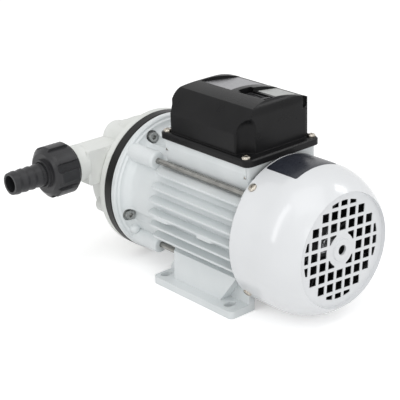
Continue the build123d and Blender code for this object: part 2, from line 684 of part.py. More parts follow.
def flange_form():
    """Turned body: broad annulus with a step, cove, neck, spigot and bearing seat."""
    rim_rear = FLANGE_FACE_Y + FLANGE_RIM_THICKNESS
    step_y = rim_rear + FLANGE_STEP_HEIGHT
    step_r = FLANGE_RADIUS - FLANGE_STEP_INSET
    cove_r = BARREL_RADIUS + FLANGE_COVE
    cove_mid = FLANGE_COVE * math.sqrt(0.5)
    wall_rear = HOUSING_FRONT_Y + 3.0
    h = SHAFT_HEIGHT
    rim = Polyline([
        (cove_r, step_y, h),
        (step_r, step_y, h),
        (step_r + FLANGE_STEP_HEIGHT, rim_rear, h),
        (FLANGE_RADIUS - 1.2, rim_rear, h),
        (FLANGE_RADIUS, rim_rear - 1.2, h),
        (FLANGE_RADIUS, FLANGE_FACE_Y + 0.6, h),
        (FLANGE_RADIUS - 0.6, FLANGE_FACE_Y, h),
        (CHAMBER_RADIUS, FLANGE_FACE_Y, h),
        (CHAMBER_RADIUS, CHAMBER_REAR_Y - 4, h),
        (CHAMBER_RADIUS - 4, CHAMBER_REAR_Y, h),
        (FLANGE_SHOULDER_RADIUS, CHAMBER_REAR_Y, h),
        (FLANGE_SHOULDER_RADIUS, FRONT_BEARING_Y, h),
        (BEARING_OUTER_RADIUS + SEAT_FIT, FRONT_BEARING_Y, h),
        (BEARING_OUTER_RADIUS + SEAT_FIT, FRONT_BEARING_Y + BEARING_WIDTH, h),
        (BEARING_OUTER_RADIUS + 4, FRONT_BEARING_Y + BEARING_WIDTH, h),
        (BEARING_OUTER_RADIUS + 4, wall_rear, h),
        (SPIGOT_RADIUS - 5, wall_rear, h),
        (SPIGOT_RADIUS - 4, HOUSING_FRONT_Y + SPIGOT_LENGTH, h),
        (SPIGOT_RADIUS, HOUSING_FRONT_Y + SPIGOT_LENGTH, h),
        (SPIGOT_RADIUS, HOUSING_FRONT_Y, h),
        (BARREL_RADIUS, HOUSING_FRONT_Y, h),
        (BARREL_RADIUS, step_y + FLANGE_COVE, h),
    ])
    cove = ThreePointArc(
        (BARREL_RADIUS, step_y + FLANGE_COVE, h),
        (cove_r - cove_mid, step_y + FLANGE_COVE - cove_mid, h),
        (cove_r, step_y, h),
    )
    return revolve(make_face(rim + cove), SHAFT_AXIS, 360)


def front_flange():
    rim_rear = FLANGE_FACE_Y + FLANGE_RIM_THICKNESS
    shape = flange_form()
    core = along_y(CHAMBER_RADIUS, FLANGE_FACE_Y - 1, CHAMBER_REAR_Y - 4)
    for angle in TIE_ANGLES:
        x, z = polar(TIE_CIRCLE_RADIUS, angle)
        boss = along_y(TIE_BOSS_RADIUS, rim_rear, TIE_BOSS_REAR_Y, x, z)
        shape = shape + fillet(boss.edges().group_by(Axis.Y)[-1], TIE_BOSS_EDGE)
    for angle in (NUB_ANGLE, 180 - NUB_ANGLE):
        x, z = polar(NUB_CIRCLE_RADIUS, angle)
        shape = shape + Pos(x, rim_rear + NUB_HEIGHT, SHAFT_HEIGHT + z) * Sphere(NUB_RADIUS)
    for angle in TIE_ANGLES:
        x, z = polar(TIE_CIRCLE_RADIUS, angle)
        bottom = TIE_BOSS_REAR_Y - TIE_THREAD_DEPTH - 1
        shape = shape - along_y(TIE_ROD_RADIUS + TAPPED_FIT, bottom, TIE_BOSS_REAR_Y + 1, x, z)
    for angle in BOLT_ANGLES:
        x, z = polar(BOLT_CIRCLE_RADIUS, angle)
        shape = shape - along_y(BOLT_POCKET_RADIUS, BOLT_SEAT_Y, HOUSING_FRONT_Y, x, z)
        shape = shape - along_y(CLEARANCE_HOLE_RADIUS, FLANGE_FACE_Y - 1, BOLT_SEAT_Y + 1, x, z)
    return shape - core


def rear_end_shield():
    disc_rear = HOUSING_REAR_Y + SHIELD_DISC_THICKNESS
    hub_rear = REAR_BEARING_Y + BEARING_WIDTH + WAVE_WASHER_THICKNESS
    seat = BEARING_OUTER_RADIUS + SEAT_FIT
    shape = turned([
        (seat, REAR_BEARING_Y - 3),
        (SPIGOT_RADIUS - 6, REAR_BEARING_Y - 1),
        (SPIGOT_RADIUS - 4, HOUSING_REAR_Y - SPIGOT_LENGTH),
        (SPIGOT_RADIUS, HOUSING_REAR_Y - SPIGOT_LENGTH),
        (SPIGOT_RADIUS, HOUSING_REAR_Y),
        (BARREL_RADIUS, HOUSING_REAR_Y),
        (BARREL_RADIUS, disc_rear - 1.5),
        (BARREL_RADIUS - 1.5, disc_rear),
        (SHIELD_HUB_RADIUS + 3, disc_rear),
        (SHIELD_HUB_RADIUS, hub_rear),
        (SHIELD_HUB_RADIUS, hub_rear + 3),
        (SHAFT_RADIUS + 2, hub_rear + 3),
        (SHAFT_RADIUS + 2, hub_rear),
        (seat, hub_rear),
    ])
    lug_rear = HOUSING_REAR_Y + SHIELD_LUG_LENGTH
    for lug in shield_lugs():
        shape = shape + lug
    for angle in TIE_ANGLES:
        x, z = polar(TIE_CIRCLE_RADIUS, angle)
        shape = shape - along_y(TIE_ROD_RADIUS + 0.25, HOUSING_REAR_Y - 5, lug_rear + 1, x, z)
    tap = along_x(
        COVER_SCREW_RADIUS + TAPPED_FIT, COVER_RADIUS - COVER_SCREW_LENGTH - 0.3, COVER_RADIUS + 1,
        COVER_SCREW_Y, SHAFT_HEIGHT,
    )
    for angle in COVER_SCREW_ANGLES:
        shape = shape - spin(tap, angle)
    return shape


def tie_bolts():
    bolts = []
    seat = HOUSING_REAR_Y + SHIELD_LUG_LENGTH
    for angle in TIE_ANGLES:
        x, z = polar(TIE_CIRCLE_RADIUS, angle)
        rod = along_y(TIE_ROD_RADIUS, TIE_BOSS_REAR_Y - TIE_THREAD_DEPTH, seat + 1, x, z)
        hexagon = Pos(x, seat + TIE_HEAD_HEIGHT, SHAFT_HEIGHT + z) * Rot(90, 0, 0) * RegularPolygon(TIE_HEAD_RADIUS, 6)
        bolts.append(rod + extrude(hexagon, amount=TIE_HEAD_HEIGHT, dir=(0, -1, 0)))
    return Compound(bolts)


# Fan end

def cover_radius_at(y, inset):
    """Radius of the cover's shoulder arc at y, moved inwards by inset."""
    centre = COVER_RADIUS - COVER_SHOULDER_RADIUS
    return centre + math.sqrt((COVER_SHOULDER_RADIUS - inset) ** 2 - (y - COVER_SHOULDER_Y) ** 2)


def cover_bead_radius():
    return cover_radius_at(COVER_END_Y, 0) - COVER_BEAD_INSET


def fan_cover():
    h = SHAFT_HEIGHT
    inner_r = COVER_RADIUS - COVER_SHEET
    grille_in = COVER_GRILLE_Y - COVER_SHEET
    end_r = cover_radius_at(COVER_END_Y, 0)
    turn_r = cover_radius_at(grille_in, COVER_SHEET)
    bead_r = cover_bead_radius()
    mid_y = (COVER_SHOULDER_Y + COVER_END_Y) / 2
    mid_in_y = (COVER_SHOULDER_Y + grille_in) / 2
    outer_arc = ThreePointArc(
        (COVER_RADIUS, COVER_SHOULDER_Y, h), (cover_radius_at(mid_y, 0), mid_y, h), (end_r, COVER_END_Y, h)
    )
    inner_arc = ThreePointArc(
        (turn_r, grille_in, h), (cover_radius_at(mid_in_y, COVER_SHEET), mid_in_y, h), (inner_r, COVER_SHOULDER_Y, h)
    )
    face_line = Polyline([
        (end_r, COVER_END_Y, h),
        (bead_r, COVER_END_Y, h),
        (bead_r - 0.4, COVER_GRILLE_Y, h),
        (COVER_HUB_RADIUS, COVER_GRILLE_Y, h),
        (COVER_HUB_RADIUS - 0.6, COVER_GRILLE_Y + COVER_HUB_HEIGHT, h),
        (COVER_HUB_HOLE_RADIUS, COVER_GRILLE_Y + COVER_HUB_HEIGHT, h),
        (COVER_HUB_HOLE_RADIUS, grille_in, h),
        (turn_r, grille_in, h),
    ])
    rim_line = Polyline([
        (inner_r, COVER_SHOULDER_Y, h),
        (inner_r, COVER_RIM_Y, h),
        (COVER_RADIUS, COVER_RIM_Y, h),
        (COVER_RADIUS, COVER_SHOULDER_Y, h),
    ])
    shell = revolve(make_face(outer_arc + face_line + inner_arc + rim_line), SHAFT_AXIS, 360)
    shell = shell - grille_holes()
    hole = along_x(COVER_SCREW_RADIUS + 0.2, inner_r - 2, COVER_RADIUS + 2, COVER_SCREW_Y, h)
    for angle in COVER_SCREW_ANGLES:
        shell = shell - spin(hole, angle)
    return shell


def grille_holes():
    low = COVER_GRILLE_Y - COVER_SHEET - 1
    high = COVER_GRILLE_Y + 1
    limit = cover_bead_radius() - GRILLE_MARGIN
    centre_limit = cover_bead_radius() - GRILLE_CENTRE_MARGIN
    ring = along_y(limit, low, high) - along_y(GRILLE_HUB_RADIUS, low - 1, high + 1)
    holes = []
    half = GRILLE_HOLE / 2
    for i in range(-GRILLE_ROWS, GRILLE_ROWS + 1):
        for j in range(-GRILLE_ROWS, GRILLE_ROWS + 1):
            distance = GRILLE_PITCH * math.hypot(i, j)
            if distance > centre_limit or abs(i) + abs(j) < 2:
                continue
            x = i * GRILLE_PITCH
            z = SHAFT_HEIGHT + j * GRILLE_PITCH
            square = block(x - half, x + half, low, high, z - half, z + half)
            corner = math.hypot(abs(i) * GRILLE_PITCH + half, abs(j) * GRILLE_PITCH + half)
            if corner > limit or distance < GRILLE_HUB_RADIUS + half * 2:
                square = square & ring
            holes.append(spin(square, COVER_ANGLE))
    return holes


def fan_cover_screws():
    screws = []
    h = SHAFT_HEIGHT
    head = along_x(
        COVER_SCREW_HEAD_RADIUS, COVER_RADIUS, COVER_RADIUS + COVER_SCREW_HEAD_HEIGHT, COVER_SCREW_Y, h
    )
    head = chamfer(head.edges().group_by(Axis.X)[-1], SCREW_HEAD_CHAMFER)
    shank = along_x(COVER_SCREW_RADIUS, COVER_RADIUS - COVER_SCREW_LENGTH, COVER_RADIUS + 0.5, COVER_SCREW_Y, h)
    screw = head + shank
    for angle in COVER_SCREW_ANGLES:
        screws.append(spin(screw, angle))
    return Compound(screws)


def cooling_fan():
    blade_front = FAN_BACK_Y + FAN_BACK_THICKNESS
    back = along_y(FAN_RADIUS, FAN_BACK_Y, blade_front)
    hub = along_y(FAN_HUB_RADIUS, FAN_BACK_Y, FAN_BACK_Y + FAN_HUB_LENGTH)
    fan = back + hub
    outline = [
        (FAN_HUB_RADIUS - 2, blade_front - 1),
        (FAN_RADIUS, blade_front - 1),
        (FAN_RADIUS, blade_front + FAN_BLADE_LENGTH * 0.55),
        (FAN_RADIUS * 0.78, blade_front + FAN_BLADE_LENGTH),
        (FAN_HUB_RADIUS + 6, blade_front + FAN_BLADE_LENGTH),
        (FAN_HUB_RADIUS - 2, blade_front + FAN_BLADE_LENGTH * 0.7),
    ]
    z0 = SHAFT_HEIGHT - FAN_BLADE_THICKNESS / 2
    face = make_face(Polyline([(x, y, z0) for x, y in outline], close=True))
    blade = extrude(face, amount=FAN_BLADE_THICKNESS, dir=(0, 0, 1))
    for i in range(FAN_BLADES):
        fan = fan + spin(blade, (i + 0.5) * 360 / FAN_BLADES)
    return fan - along_y(SHAFT_FAN_RADIUS + SEAT_FIT, FAN_BACK_Y - 1, FAN_BACK_Y + FAN_BLADE_LENGTH + 9)


def fan_retaining_ring():
    y = FAN_BACK_Y + FAN_HUB_LENGTH
    ring = along_y(SHAFT_FAN_RADIUS + 2.4, y, y + RING_THICKNESS)
    ring = ring - along_y(SHAFT_FAN_RADIUS - 0.5 + SEAT_FIT, y - 1, y + RING_THICKNESS + 1)
    gap = block(-2, 2, y - 1, y + RING_THICKNESS + 1, SHAFT_HEIGHT, SHAFT_HEIGHT + SHAFT_FAN_RADIUS + 5)
    return ring - gap


# Shaft, rotor and bearings

def motor_shaft():
    groove_y = FAN_BACK_Y + FAN_HUB_LENGTH
    seat_rear = REAR_BEARING_Y + BEARING_WIDTH + WAVE_WASHER_THICKNESS
    return turned([
        (0, SHAFT_FRONT_Y),
        (SHAFT_RADIUS - 0.8, SHAFT_FRONT_Y),
        (SHAFT_RADIUS, SHAFT_FRONT_Y + 0.8),
        (SHAFT_RADIUS, FRONT_BEARING_Y + BEARING_WIDTH),
        (SHAFT_BODY_RADIUS, FRONT_BEARING_Y + BEARING_WIDTH),
        (SHAFT_BODY_RADIUS, REAR_BEARING_Y),
        (SHAFT_RADIUS, REAR_BEARING_Y),
        (SHAFT_RADIUS, FAN_BACK_Y),
        (SHAFT_FAN_RADIUS, FAN_BACK_Y),
        (SHAFT_FAN_RADIUS, groove_y),
        (SHAFT_FAN_RADIUS - 0.5, groove_y),
        (SHAFT_FAN_RADIUS - 0.5, groove_y + RING_THICKNESS),
        (SHAFT_FAN_RADIUS, groove_y + RING_THICKNESS),
        (SHAFT_FAN_RADIUS, SHAFT_REAR_Y - 0.8),
        (SHAFT_FAN_RADIUS - 0.8, SHAFT_REAR_Y),
        (0, SHAFT_REAR_Y),
    ])


def rotor_core():
    half = STATOR_LENGTH / 2
    core = along_y(ROTOR_RADIUS, -half, half)
    core = core + along_y(END_RING_RADIUS + 3, half, half + END_RING_LENGTH)
    core = core + along_y(END_RING_RADIUS + 3, -half - END_RING_LENGTH, -half)
    return core - along_y(SHAFT_BODY_RADIUS + SEAT_FIT, -half - 20, half + 20)


def bearing_outer(outer, gap_radius, y0, width):
    """Outer ring with its two seals, which close down to the inner ring."""
    groove = outer - BEARING_GROOVE
    return turned([
        (outer, y0), (outer, y0 + width), (gap_radius, y0 + width), (gap_radius, y0 + 1.2),
        (groove - 2, y0 + 1.2), (groove - 2, y0 + 0.6), (gap_radius, y0 + 0.6), (gap_radius, y0),
    ])


def bearing_inner(bore, gap_radius, y0, width):
    outer = gap_radius - BEARING_GAP
    return turned([(bore, y0), (outer, y0), (outer, y0 + width), (bore, y0 + width)])


def shaft_gap_radius():
    return SHAFT_RADIUS + BEARING_RING_WALL


def wave_washer():
    y0 = REAR_BEARING_Y + BEARING_WIDTH
    outer = BEARING_OUTER_RADIUS - 0.4
    return turned([
        (outer, y0), (outer, y0 + WAVE_WASHER_THICKNESS),
        (outer - 4, y0 + WAVE_WASHER_THICKNESS), (outer - 4, y0),
    ])


# Wobble drive

def wobble_hub():
    body = along_y(HUB_RADIUS, HUB_FRONT_Y, HUB_REAR_Y)
    shoulder = along_y(HUB_SHOULDER_RADIUS, HUB_REAR_Y - HUB_SHOULDER_LENGTH, HUB_REAR_Y)
    hub = tilt(body + shoulder)
    hub = hub - along_y(SHAFT_RADIUS + SEAT_FIT, HUB_FRONT_Y - 10, HUB_REAR_Y + 10)
    return hub - along_z(SET_SCREW_RADIUS + TAPPED_FIT, SHAFT_HEIGHT - 30, SHAFT_HEIGHT, 0, set_screw_y())


def set_screw_y():
    return HUB_FRONT_Y + 3.0


def hub_set_screw():
    low = SHAFT_HEIGHT - SHAFT_RADIUS - 2.6
    return along_z(SET_SCREW_RADIUS, low, SHAFT_HEIGHT - SHAFT_RADIUS - 0.05, 0, set_screw_y())


def wobble_bearing_y():
    return HUB_REAR_Y - HUB_SHOULDER_LENGTH - WOBBLE_BEARING_WIDTH


def wobble_gap_radius():
    return HUB_RADIUS + WOBBLE_RING_WALL


def pad_centres():
    for angle in CHAMBER_ANGLES:
        yield polar(CHAMBER_CIRCLE_RADIUS, angle)


def wobble_plate():
    seat = WOBBLE_BEARING_OUTER_RADIUS + SEAT_FIT
    outer = WOBBLE_BEARING_OUTER_RADIUS + PLATE_HUB_WALL
    bearing_y = wobble_bearing_y()
    disc_front = PLATE_DISC_REAR_Y - PLATE_DISC_THICKNESS
    plate = turned([
        (0, PLATE_DISC_REAR_Y), (seat - 2, PLATE_DISC_REAR_Y), (seat - 2, bearing_y), (seat, bearing_y),
        (seat, bearing_y + WOBBLE_BEARING_WIDTH), (outer, bearing_y + WOBBLE_BEARING_WIDTH),
        (outer, PLATE_DISC_REAR_Y), (PLATE_DISC_RADIUS, disc_front + 1), (PLATE_DISC_RADIUS - 1, disc_front),
        (0, disc_front),
    ])
    for x, z in pad_centres():
        stalk = along_y(PAD_BOSS_RADIUS - 4, PLATE_DISC_REAR_Y - 0.5, DIAPHRAGM_REAR_Y + 3, x, z)
        pad = along_y(PAD_BOSS_RADIUS, DIAPHRAGM_REAR_Y + 4, DIAPHRAGM_REAR_Y, x, z)
        plate = plate + stalk + pad
    depth = PISTON_SCREW_LENGTH + 1
    for x, z in pad_centres():
        front = DIAPHRAGM_REAR_Y
        plate = plate - along_y(PISTON_SCREW_RADIUS + TAPPED_FIT, front - 1, front + depth, x, z)
    return tilt(plate)


def piston_discs():
    rear = RING_FRONT_Y
    front = rear - PISTON_DISC_THICKNESS
    discs = []
    for x, z in pad_centres():
        disc = along_y(PISTON_DISC_RADIUS, front, rear, x, z)
        disc = chamfer(disc.edges().group_by(Axis.Y)[0], 0.8)
        disc = disc - along_y(PISTON_SCREW_RADIUS + 0.2, front - 1, rear + 1, x, z)
        disc = disc - along_y(PISTON_SCREW_HEAD_RADIUS + 0.1, front - 1, front + PISTON_SCREW_HEAD_DEPTH, x, z)
        discs.append(tilt(disc))
    return Compound(discs)


def piston_screws():
    front = RING_FRONT_Y - PISTON_DISC_THICKNESS
    screws = []
    for x, z in pad_centres():
        screw = along_y(PISTON_SCREW_HEAD_RADIUS, front, front + PISTON_SCREW_HEAD_DEPTH, x, z)
        tip = DIAPHRAGM_REAR_Y + PISTON_SCREW_LENGTH
        screw = screw + along_y(PISTON_SCREW_RADIUS, front + 0.5, tip, x, z)
        screws.append(tilt(screw))
    return Compound(screws)


def diaphragm_ring():
    web_front = DIAPHRAGM_REAR_Y
    web_rear = web_front + RING_WEB_THICKNESS
    recess = DIAPHRAGM_RADIUS + RECESS_CLEARANCE
    ring = turned([
        (0, web_front), (recess, web_front), (recess, RING_FRONT_Y), (RING_RADIUS - 0.8, RING_FRONT_Y),
        (RING_RADIUS, RING_FRONT_Y + 0.8), (RING_RADIUS, FLANGE_FACE_Y - 0.8), (RING_RADIUS - 0.8, FLANGE_FACE_Y),
        (CHAMBER_RADIUS, FLANGE_FACE_Y), (CHAMBER_RADIUS, web_rear), (0, web_rear),
    ])
    for x, z in pad_centres():
        ring = ring - along_y(RING_WEB_HOLE_RADIUS, web_rear + 1, web_front - 1, x, z)
    for angle in BOLT_ANGLES:
        x, z = polar(BOLT_CIRCLE_RADIUS, angle)
        ring = ring - along_y(CLEARANCE_HOLE_RADIUS, RING_FRONT_Y - 1, FLANGE_FACE_Y + 1, x, z)
    return ring


def diaphragm_dome(x, z):
    """One working zone in its position at rest, and the space it leaves behind it."""
    thickness = DIAPHRAGM_THICKNESS
    shapes = []
    for y in (DIAPHRAGM_REAR_Y, DIAPHRAGM_REAR_Y - thickness):
        centre = Vector(x, y, SHAFT_HEIGHT + z)
        rim = Plane(origin=centre, x_dir=(1, 0, 0), z_dir=(0, -1, 0)) * Circle(CHAMBER_POCKET_RADIUS)
        pad = tilt(Plane(origin=centre, x_dir=(1, 0, 0), z_dir=(0, -1, 0)) * Circle(PAD_BOSS_RADIUS))
        shapes.append(loft([rim.face(), pad.face()], ruled=True))
    return shapes


def diaphragm():
    sheet = along_y(DIAPHRAGM_RADIUS, DIAPHRAGM_REAR_Y, RING_FRONT_Y)
    for x, z in pad_centres():
        rear_shape, front_shape = diaphragm_dome(x, z)
        if z > 0:
            sheet = sheet + front_shape - rear_shape
        else:
            sheet = sheet + rear_shape - front_shape
    for x, z in pad_centres():
        hole = along_y(PISTON_SCREW_RADIUS + 0.1, DIAPHRAGM_REAR_Y + 6, RING_FRONT_Y - 6, x, z)
        sheet = sheet - tilt(hole)
    return sheet


# Valves and pump head

def valve_places(circle_radius):
    for angle in CHAMBER_ANGLES:
        yield polar(circle_radius, angle)


def valve_ports(x, z):
    for i in range(VALVE_PORTS):
        dx, dz = polar(VALVE_PORT_OFFSET, 90 + i * 360 / VALVE_PORTS)
        yield x + dx, z + dz


def valve_plate():
    plate = along_y(DIAPHRAGM_RADIUS, RING_FRONT_Y, VALVE_PLATE_FRONT_Y)
    for x, z in pad_centres():
        plate = plate - along_y(CHAMBER_POCKET_RADIUS, RING_FRONT_Y + 1, CHAMBER_FLOOR_Y, x, z)
    for circle_radius in (INLET_VALVE_RADIUS_POS, OUTLET_VALVE_RADIUS_POS):
        for x, z in valve_places(circle_radius):
            plate = plate - along_y(VALVE_STEM_RADIUS + 0.05, CHAMBER_FLOOR_Y + 1, VALVE_PLATE_FRONT_Y - 1, x, z)
            for px, pz in valve_ports(x, z):
                plate = plate - along_y(VALVE_PORT_RADIUS, CHAMBER_FLOOR_Y + 1, VALVE_PLATE_FRONT_Y - 1, px, pz)
    return plate


def umbrella_valves(circle_radius, seat_y, outward):
    """Rubber umbrella valves whose discs lie on seat_y and lift in the outward direction."""
    valves = []
    length = (CHAMBER_FLOOR_Y - VALVE_PLATE_FRONT_Y) + 1.6
    for x, z in valve_places(circle_radius):
        disc = along_y(VALVE_DISC_RADIUS, seat_y, seat_y + outward * VALVE_DISC_THICKNESS, x, z)
        stem = along_y(VALVE_STEM_RADIUS, seat_y, seat_y - outward * length, x, z)
        valves.append(disc + stem)
    return Compound(valves)


def head_gasket():
    rear = VALVE_PLATE_FRONT_Y
    front = GASKET_FRONT_Y
    rim = along_y(DIAPHRAGM_RADIUS, rear, front) - along_y(INLET_PLENUM_OUTER, rear + 1, front - 1)
    wall = along_y(INLET_PLENUM_INNER, rear, front) - along_y(OUTLET_PLENUM_RADIUS, rear + 1, front - 1)
    gasket = rim + wall
    for side in (-1, 1):
        gasket = gasket + block(
            side * (INLET_PLENUM_INNER - 1), side * (INLET_PLENUM_OUTER + 1), rear, front,
            SHAFT_HEIGHT - 1.5, SHAFT_HEIGHT + 1.5,
        )
    return gasket


def bypass_centre():
    return polar(BYPASS_CIRCLE_RADIUS, BYPASS_ANGLE)


def port_block(side):
    x_in = side * 20.0
    x_out = side * PORT_BLOCK_FACE_X
    body = block(
        x_in, x_out, PORT_Y - PORT_BLOCK_FRONT, HEAD_DISC_FRONT_Y,
        PORT_Z - PORT_BLOCK_BELOW, PORT_Z + PORT_BLOCK_ABOVE,
    )
    body = fillet(body.edges().filter_by(Axis.X).group_by(Axis.Y)[0], PORT_BLOCK_EDGE)
    outer = body.faces().sort_by(Axis.X)[-1 if side > 0 else 0]
    body = fillet(outer.edges().filter_by(Axis.Z), PORT_BLOCK_CORNER)
    root = block(
        x_in, side * (HEAD_DISC_RADIUS - 10), PORT_Y, HEAD_DISC_FRONT_Y + 1,
        PORT_Z - PORT_BLOCK_BELOW + 1, PORT_Z + PORT_BLOCK_ABOVE - 1,
    )
    neck = along_x(NECK_RADIUS, side * (PORT_BLOCK_FACE_X - 2), side * NECK_END_X, PORT_Y, PORT_Z)
    thread = along_x(THREAD_RADIUS, side * NECK_END_X, side * THREAD_END_X, PORT_Y, PORT_Z)
    return body + root + neck + thread


def pump_head():
    disc = turned([
        (0, RING_FRONT_Y), (HEAD_DISC_RADIUS - 0.6, RING_FRONT_Y), (HEAD_DISC_RADIUS, RING_FRONT_Y - 0.6),
        (HEAD_DISC_RADIUS, HEAD_DISC_FRONT_Y + 1.5), (HEAD_DISC_RADIUS - 1.5, HEAD_DISC_FRONT_Y),
        (0, HEAD_DISC_FRONT_Y),
    ])
    body = along_y(HEAD_BODY_RADIUS, HEAD_FRONT_Y, HEAD_DISC_FRONT_Y + 1)
    body = fillet(body.edges().group_by(Axis.Y)[0], HEAD_EDGE)
    head = disc + body
    for angle in BOLT_ANGLES:
        x, z = polar(BOLT_CIRCLE_RADIUS, angle)
        boss = along_y(BOLT_BOSS_RADIUS, HEAD_DISC_FRONT_Y + 1, HEAD_DISC_FRONT_Y - BOLT_BOSS_LENGTH, x, z)
        head = head + fillet(boss.edges().group_by(Axis.Y)[0], 3.0)
    bx, bz = bypass_centre()
    lobe = along_y(BYPASS_LOBE_RADIUS, HEAD_DISC_FRONT_Y + 1, BYPASS_LOBE_FRONT_Y, bx, bz)
    head = head + fillet(lobe.edges().group_by(Axis.Y)[0], 4.0)
    head = head + port_block(1) + port_block(-1)
    recess = DIAPHRAGM_RADIUS + RECESS_CLEARANCE
    head = head - along_y(recess, RING_FRONT_Y + 1, GASKET_FRONT_Y)
    inlet_front = GASKET_FRONT_Y - INLET_PLENUM_DEPTH
    outlet_front = GASKET_FRONT_Y - OUTLET_PLENUM_DEPTH
    inlet = along_y(INLET_PLENUM_OUTER, GASKET_FRONT_Y + 1, inlet_front)
    inlet = inlet - along_y(INLET_PLENUM_INNER, GASKET_FRONT_Y + 2, inlet_front - 1)
    duct_radius = PORT_BORE_RADIUS + DUCT_WALL
    inlet = inlet - along_x(duct_radius, -4, PORT_BLOCK_FACE_X, PORT_Y, PORT_Z)
    seat_wall = along_y(BYPASS_SEAT_HOLE_RADIUS + DUCT_WALL + 1, GASKET_FRONT_Y - 2, BYPASS_SEAT_Y, bx, bz)
    inlet = inlet - seat_wall
    head = head - inlet
    head = head - along_y(OUTLET_PLENUM_RADIUS, GASKET_FRONT_Y + 1, outlet_front)
    riser_x = OUTLET_PLENUM_RADIUS / 2
    head = head - along_x(PORT_BORE_RADIUS, riser_x - 3, THREAD_END_X + 1, PORT_Y, PORT_Z)
    head = head - along_z(PORT_BORE_RADIUS - 1, SHAFT_HEIGHT + 8, PORT_Z + 2, riser_x, PORT_Y)
    head = head - along_x(PORT_BORE_RADIUS, -THREAD_END_X - 1, -20, PORT_Y, PORT_Z)
    head = head - along_y(BYPASS_BORE_RADIUS, BYPASS_SEAT_Y, BYPASS_LOBE_FRONT_Y - 5, bx, bz)
    spot = BYPASS_BORE_RADIUS + 4.5
    head = head - along_y(spot, BYPASS_LOBE_FRONT_Y, HEAD_FRONT_Y - 5, bx, bz)
    head = head - along_y(BYPASS_SEAT_HOLE_RADIUS, BYPASS_SEAT_Y + 4.5, BYPASS_SEAT_Y - 1, bx, bz)
    link_y = BYPASS_SEAT_Y + BYPASS_LINK_RADIUS + 0.6
    head = head - along_z(BYPASS_LINK_RADIUS, PORT_Z, SHAFT_HEIGHT + bz, bx, link_y)
    for angle in BOLT_ANGLES:
        x, z = polar(BOLT_CIRCLE_RADIUS, angle)
        head = head - along_y(BOLT_RADIUS + TAPPED_FIT, RING_FRONT_Y + 1, BOLT_TIP_Y - 1, x, z)
    return head


def head_bolts():
    bolts = []
    seat = BOLT_SEAT_Y + WASHER_THICKNESS
    for angle in BOLT_ANGLES:
        x, z = polar(BOLT_CIRCLE_RADIUS, angle)
        bolt = along_y(BOLT_HEAD_RADIUS, seat, seat + BOLT_HEAD_HEIGHT, x, z)
        bolt = bolt + along_y(BOLT_RADIUS, BOLT_TIP_Y, seat + 1, x, z)
        top = Pos(x, seat + BOLT_HEAD_HEIGHT + 1, SHAFT_HEIGHT + z)
        socket = top * Rot(90, 0, 0) * RegularPolygon(BOLT_SOCKET_RADIUS, 6)
        bolts.append(bolt - extrude(socket, amount=BOLT_SOCKET_DEPTH + 1, dir=(0, -1, 0)))
    return Compound(bolts)


def head_washers():
    washers = []
    for angle in BOLT_ANGLES:
        x, z = polar(BOLT_CIRCLE_RADIUS, angle)
        washer = along_y(WASHER_RADIUS, BOLT_SEAT_Y, BOLT_SEAT_Y + WASHER_THICKNESS, x, z)
        washers.append(washer - along_y(CLEARANCE_HOLE_RADIUS, BOLT_SEAT_Y - 1, BOLT_SEAT_Y + 3, x, z))
    return Compound(washers)


# Bypass valve

def bypass_poppet():
    x, z = bypass_centre()
    rear = BYPASS_SEAT_Y
    front = rear - POPPET_HEAD
    head = along_y(BYPASS_SEAT_HOLE_RADIUS + POPPET_OVERLAP, rear, front, x, z)
    nose = along_y(BYPASS_SEAT_HOLE_RADIUS - 0.5, rear + 1.5, rear - 1, x, z)
    stem = along_y(POPPET_STEM_RADIUS, front + 0.5, front - POPPET_STEM_LENGTH, x, z)
    return head + nose + stem


def bypass_spring():
    x, z = bypass_centre()
    poppet_front = BYPASS_SEAT_Y - POPPET_HEAD
    gap = SPRING_WIRE_RADIUS + 0.1
    length = poppet_front - bypass_cap_bottom()
    coil = Helix(pitch=SPRING_PITCH, height=length - 2 * gap, radius=SPRING_RADIUS)
    wire = sweep(Plane(coil @ 0, z_dir=coil % 0) * Circle(SPRING_WIRE_RADIUS), path=coil)
    return Pos(x, poppet_front - gap, SHAFT_HEIGHT + z) * Rot(90, 0, 0) * wire


def bypass_cap_bottom():
    return BYPASS_LOBE_FRONT_Y + BYPASS_CAP_DEPTH


def bypass_cap():
    x, z = bypass_centre()
    front = BYPASS_LOBE_FRONT_Y
    plug = along_y(BYPASS_BORE_RADIUS - TAPPED_FIT, bypass_cap_bottom(), front - 1, x, z)
    seal_land = front - SEAL_THICKNESS
    collar = along_y(BYPASS_BORE_RADIUS + 3, seal_land, seal_land - 1.2, x, z)
    plug = plug + along_y(BYPASS_BORE_RADIUS - 1.2, front, seal_land - 1, x, z)
    hexagon = Pos(x, seal_land - 1, SHAFT_HEIGHT + z) * Rot(90, 0, 0) * RegularPolygon(BYPASS_BORE_RADIUS + 0.5, 6)
    return plug + collar + extrude(hexagon, amount=3.2, dir=(0, -1, 0))


def bypass_cap_seal():
    x, z = bypass_centre()
    front = BYPASS_LOBE_FRONT_Y
    ring = along_y(BYPASS_BORE_RADIUS + 2.5, front, front - SEAL_THICKNESS, x, z)
    return ring - along_y(BYPASS_BORE_RADIUS + 0.1, front + 1, front - SEAL_THICKNESS - 1, x, z)


# Hose connections

def tail_flange_x():
    return THREAD_END_X + SEAL_THICKNESS


def turned_x(points, side):
    """Solid of revolution about a port's axis; points are (x, radius)."""
    outline = Polyline([(side * x, PORT_Y, PORT_Z + r) for x, r in points], close=True)
    return revolve(make_face(outline), Axis((0, PORT_Y, PORT_Z), (1, 0, 0)), 360)


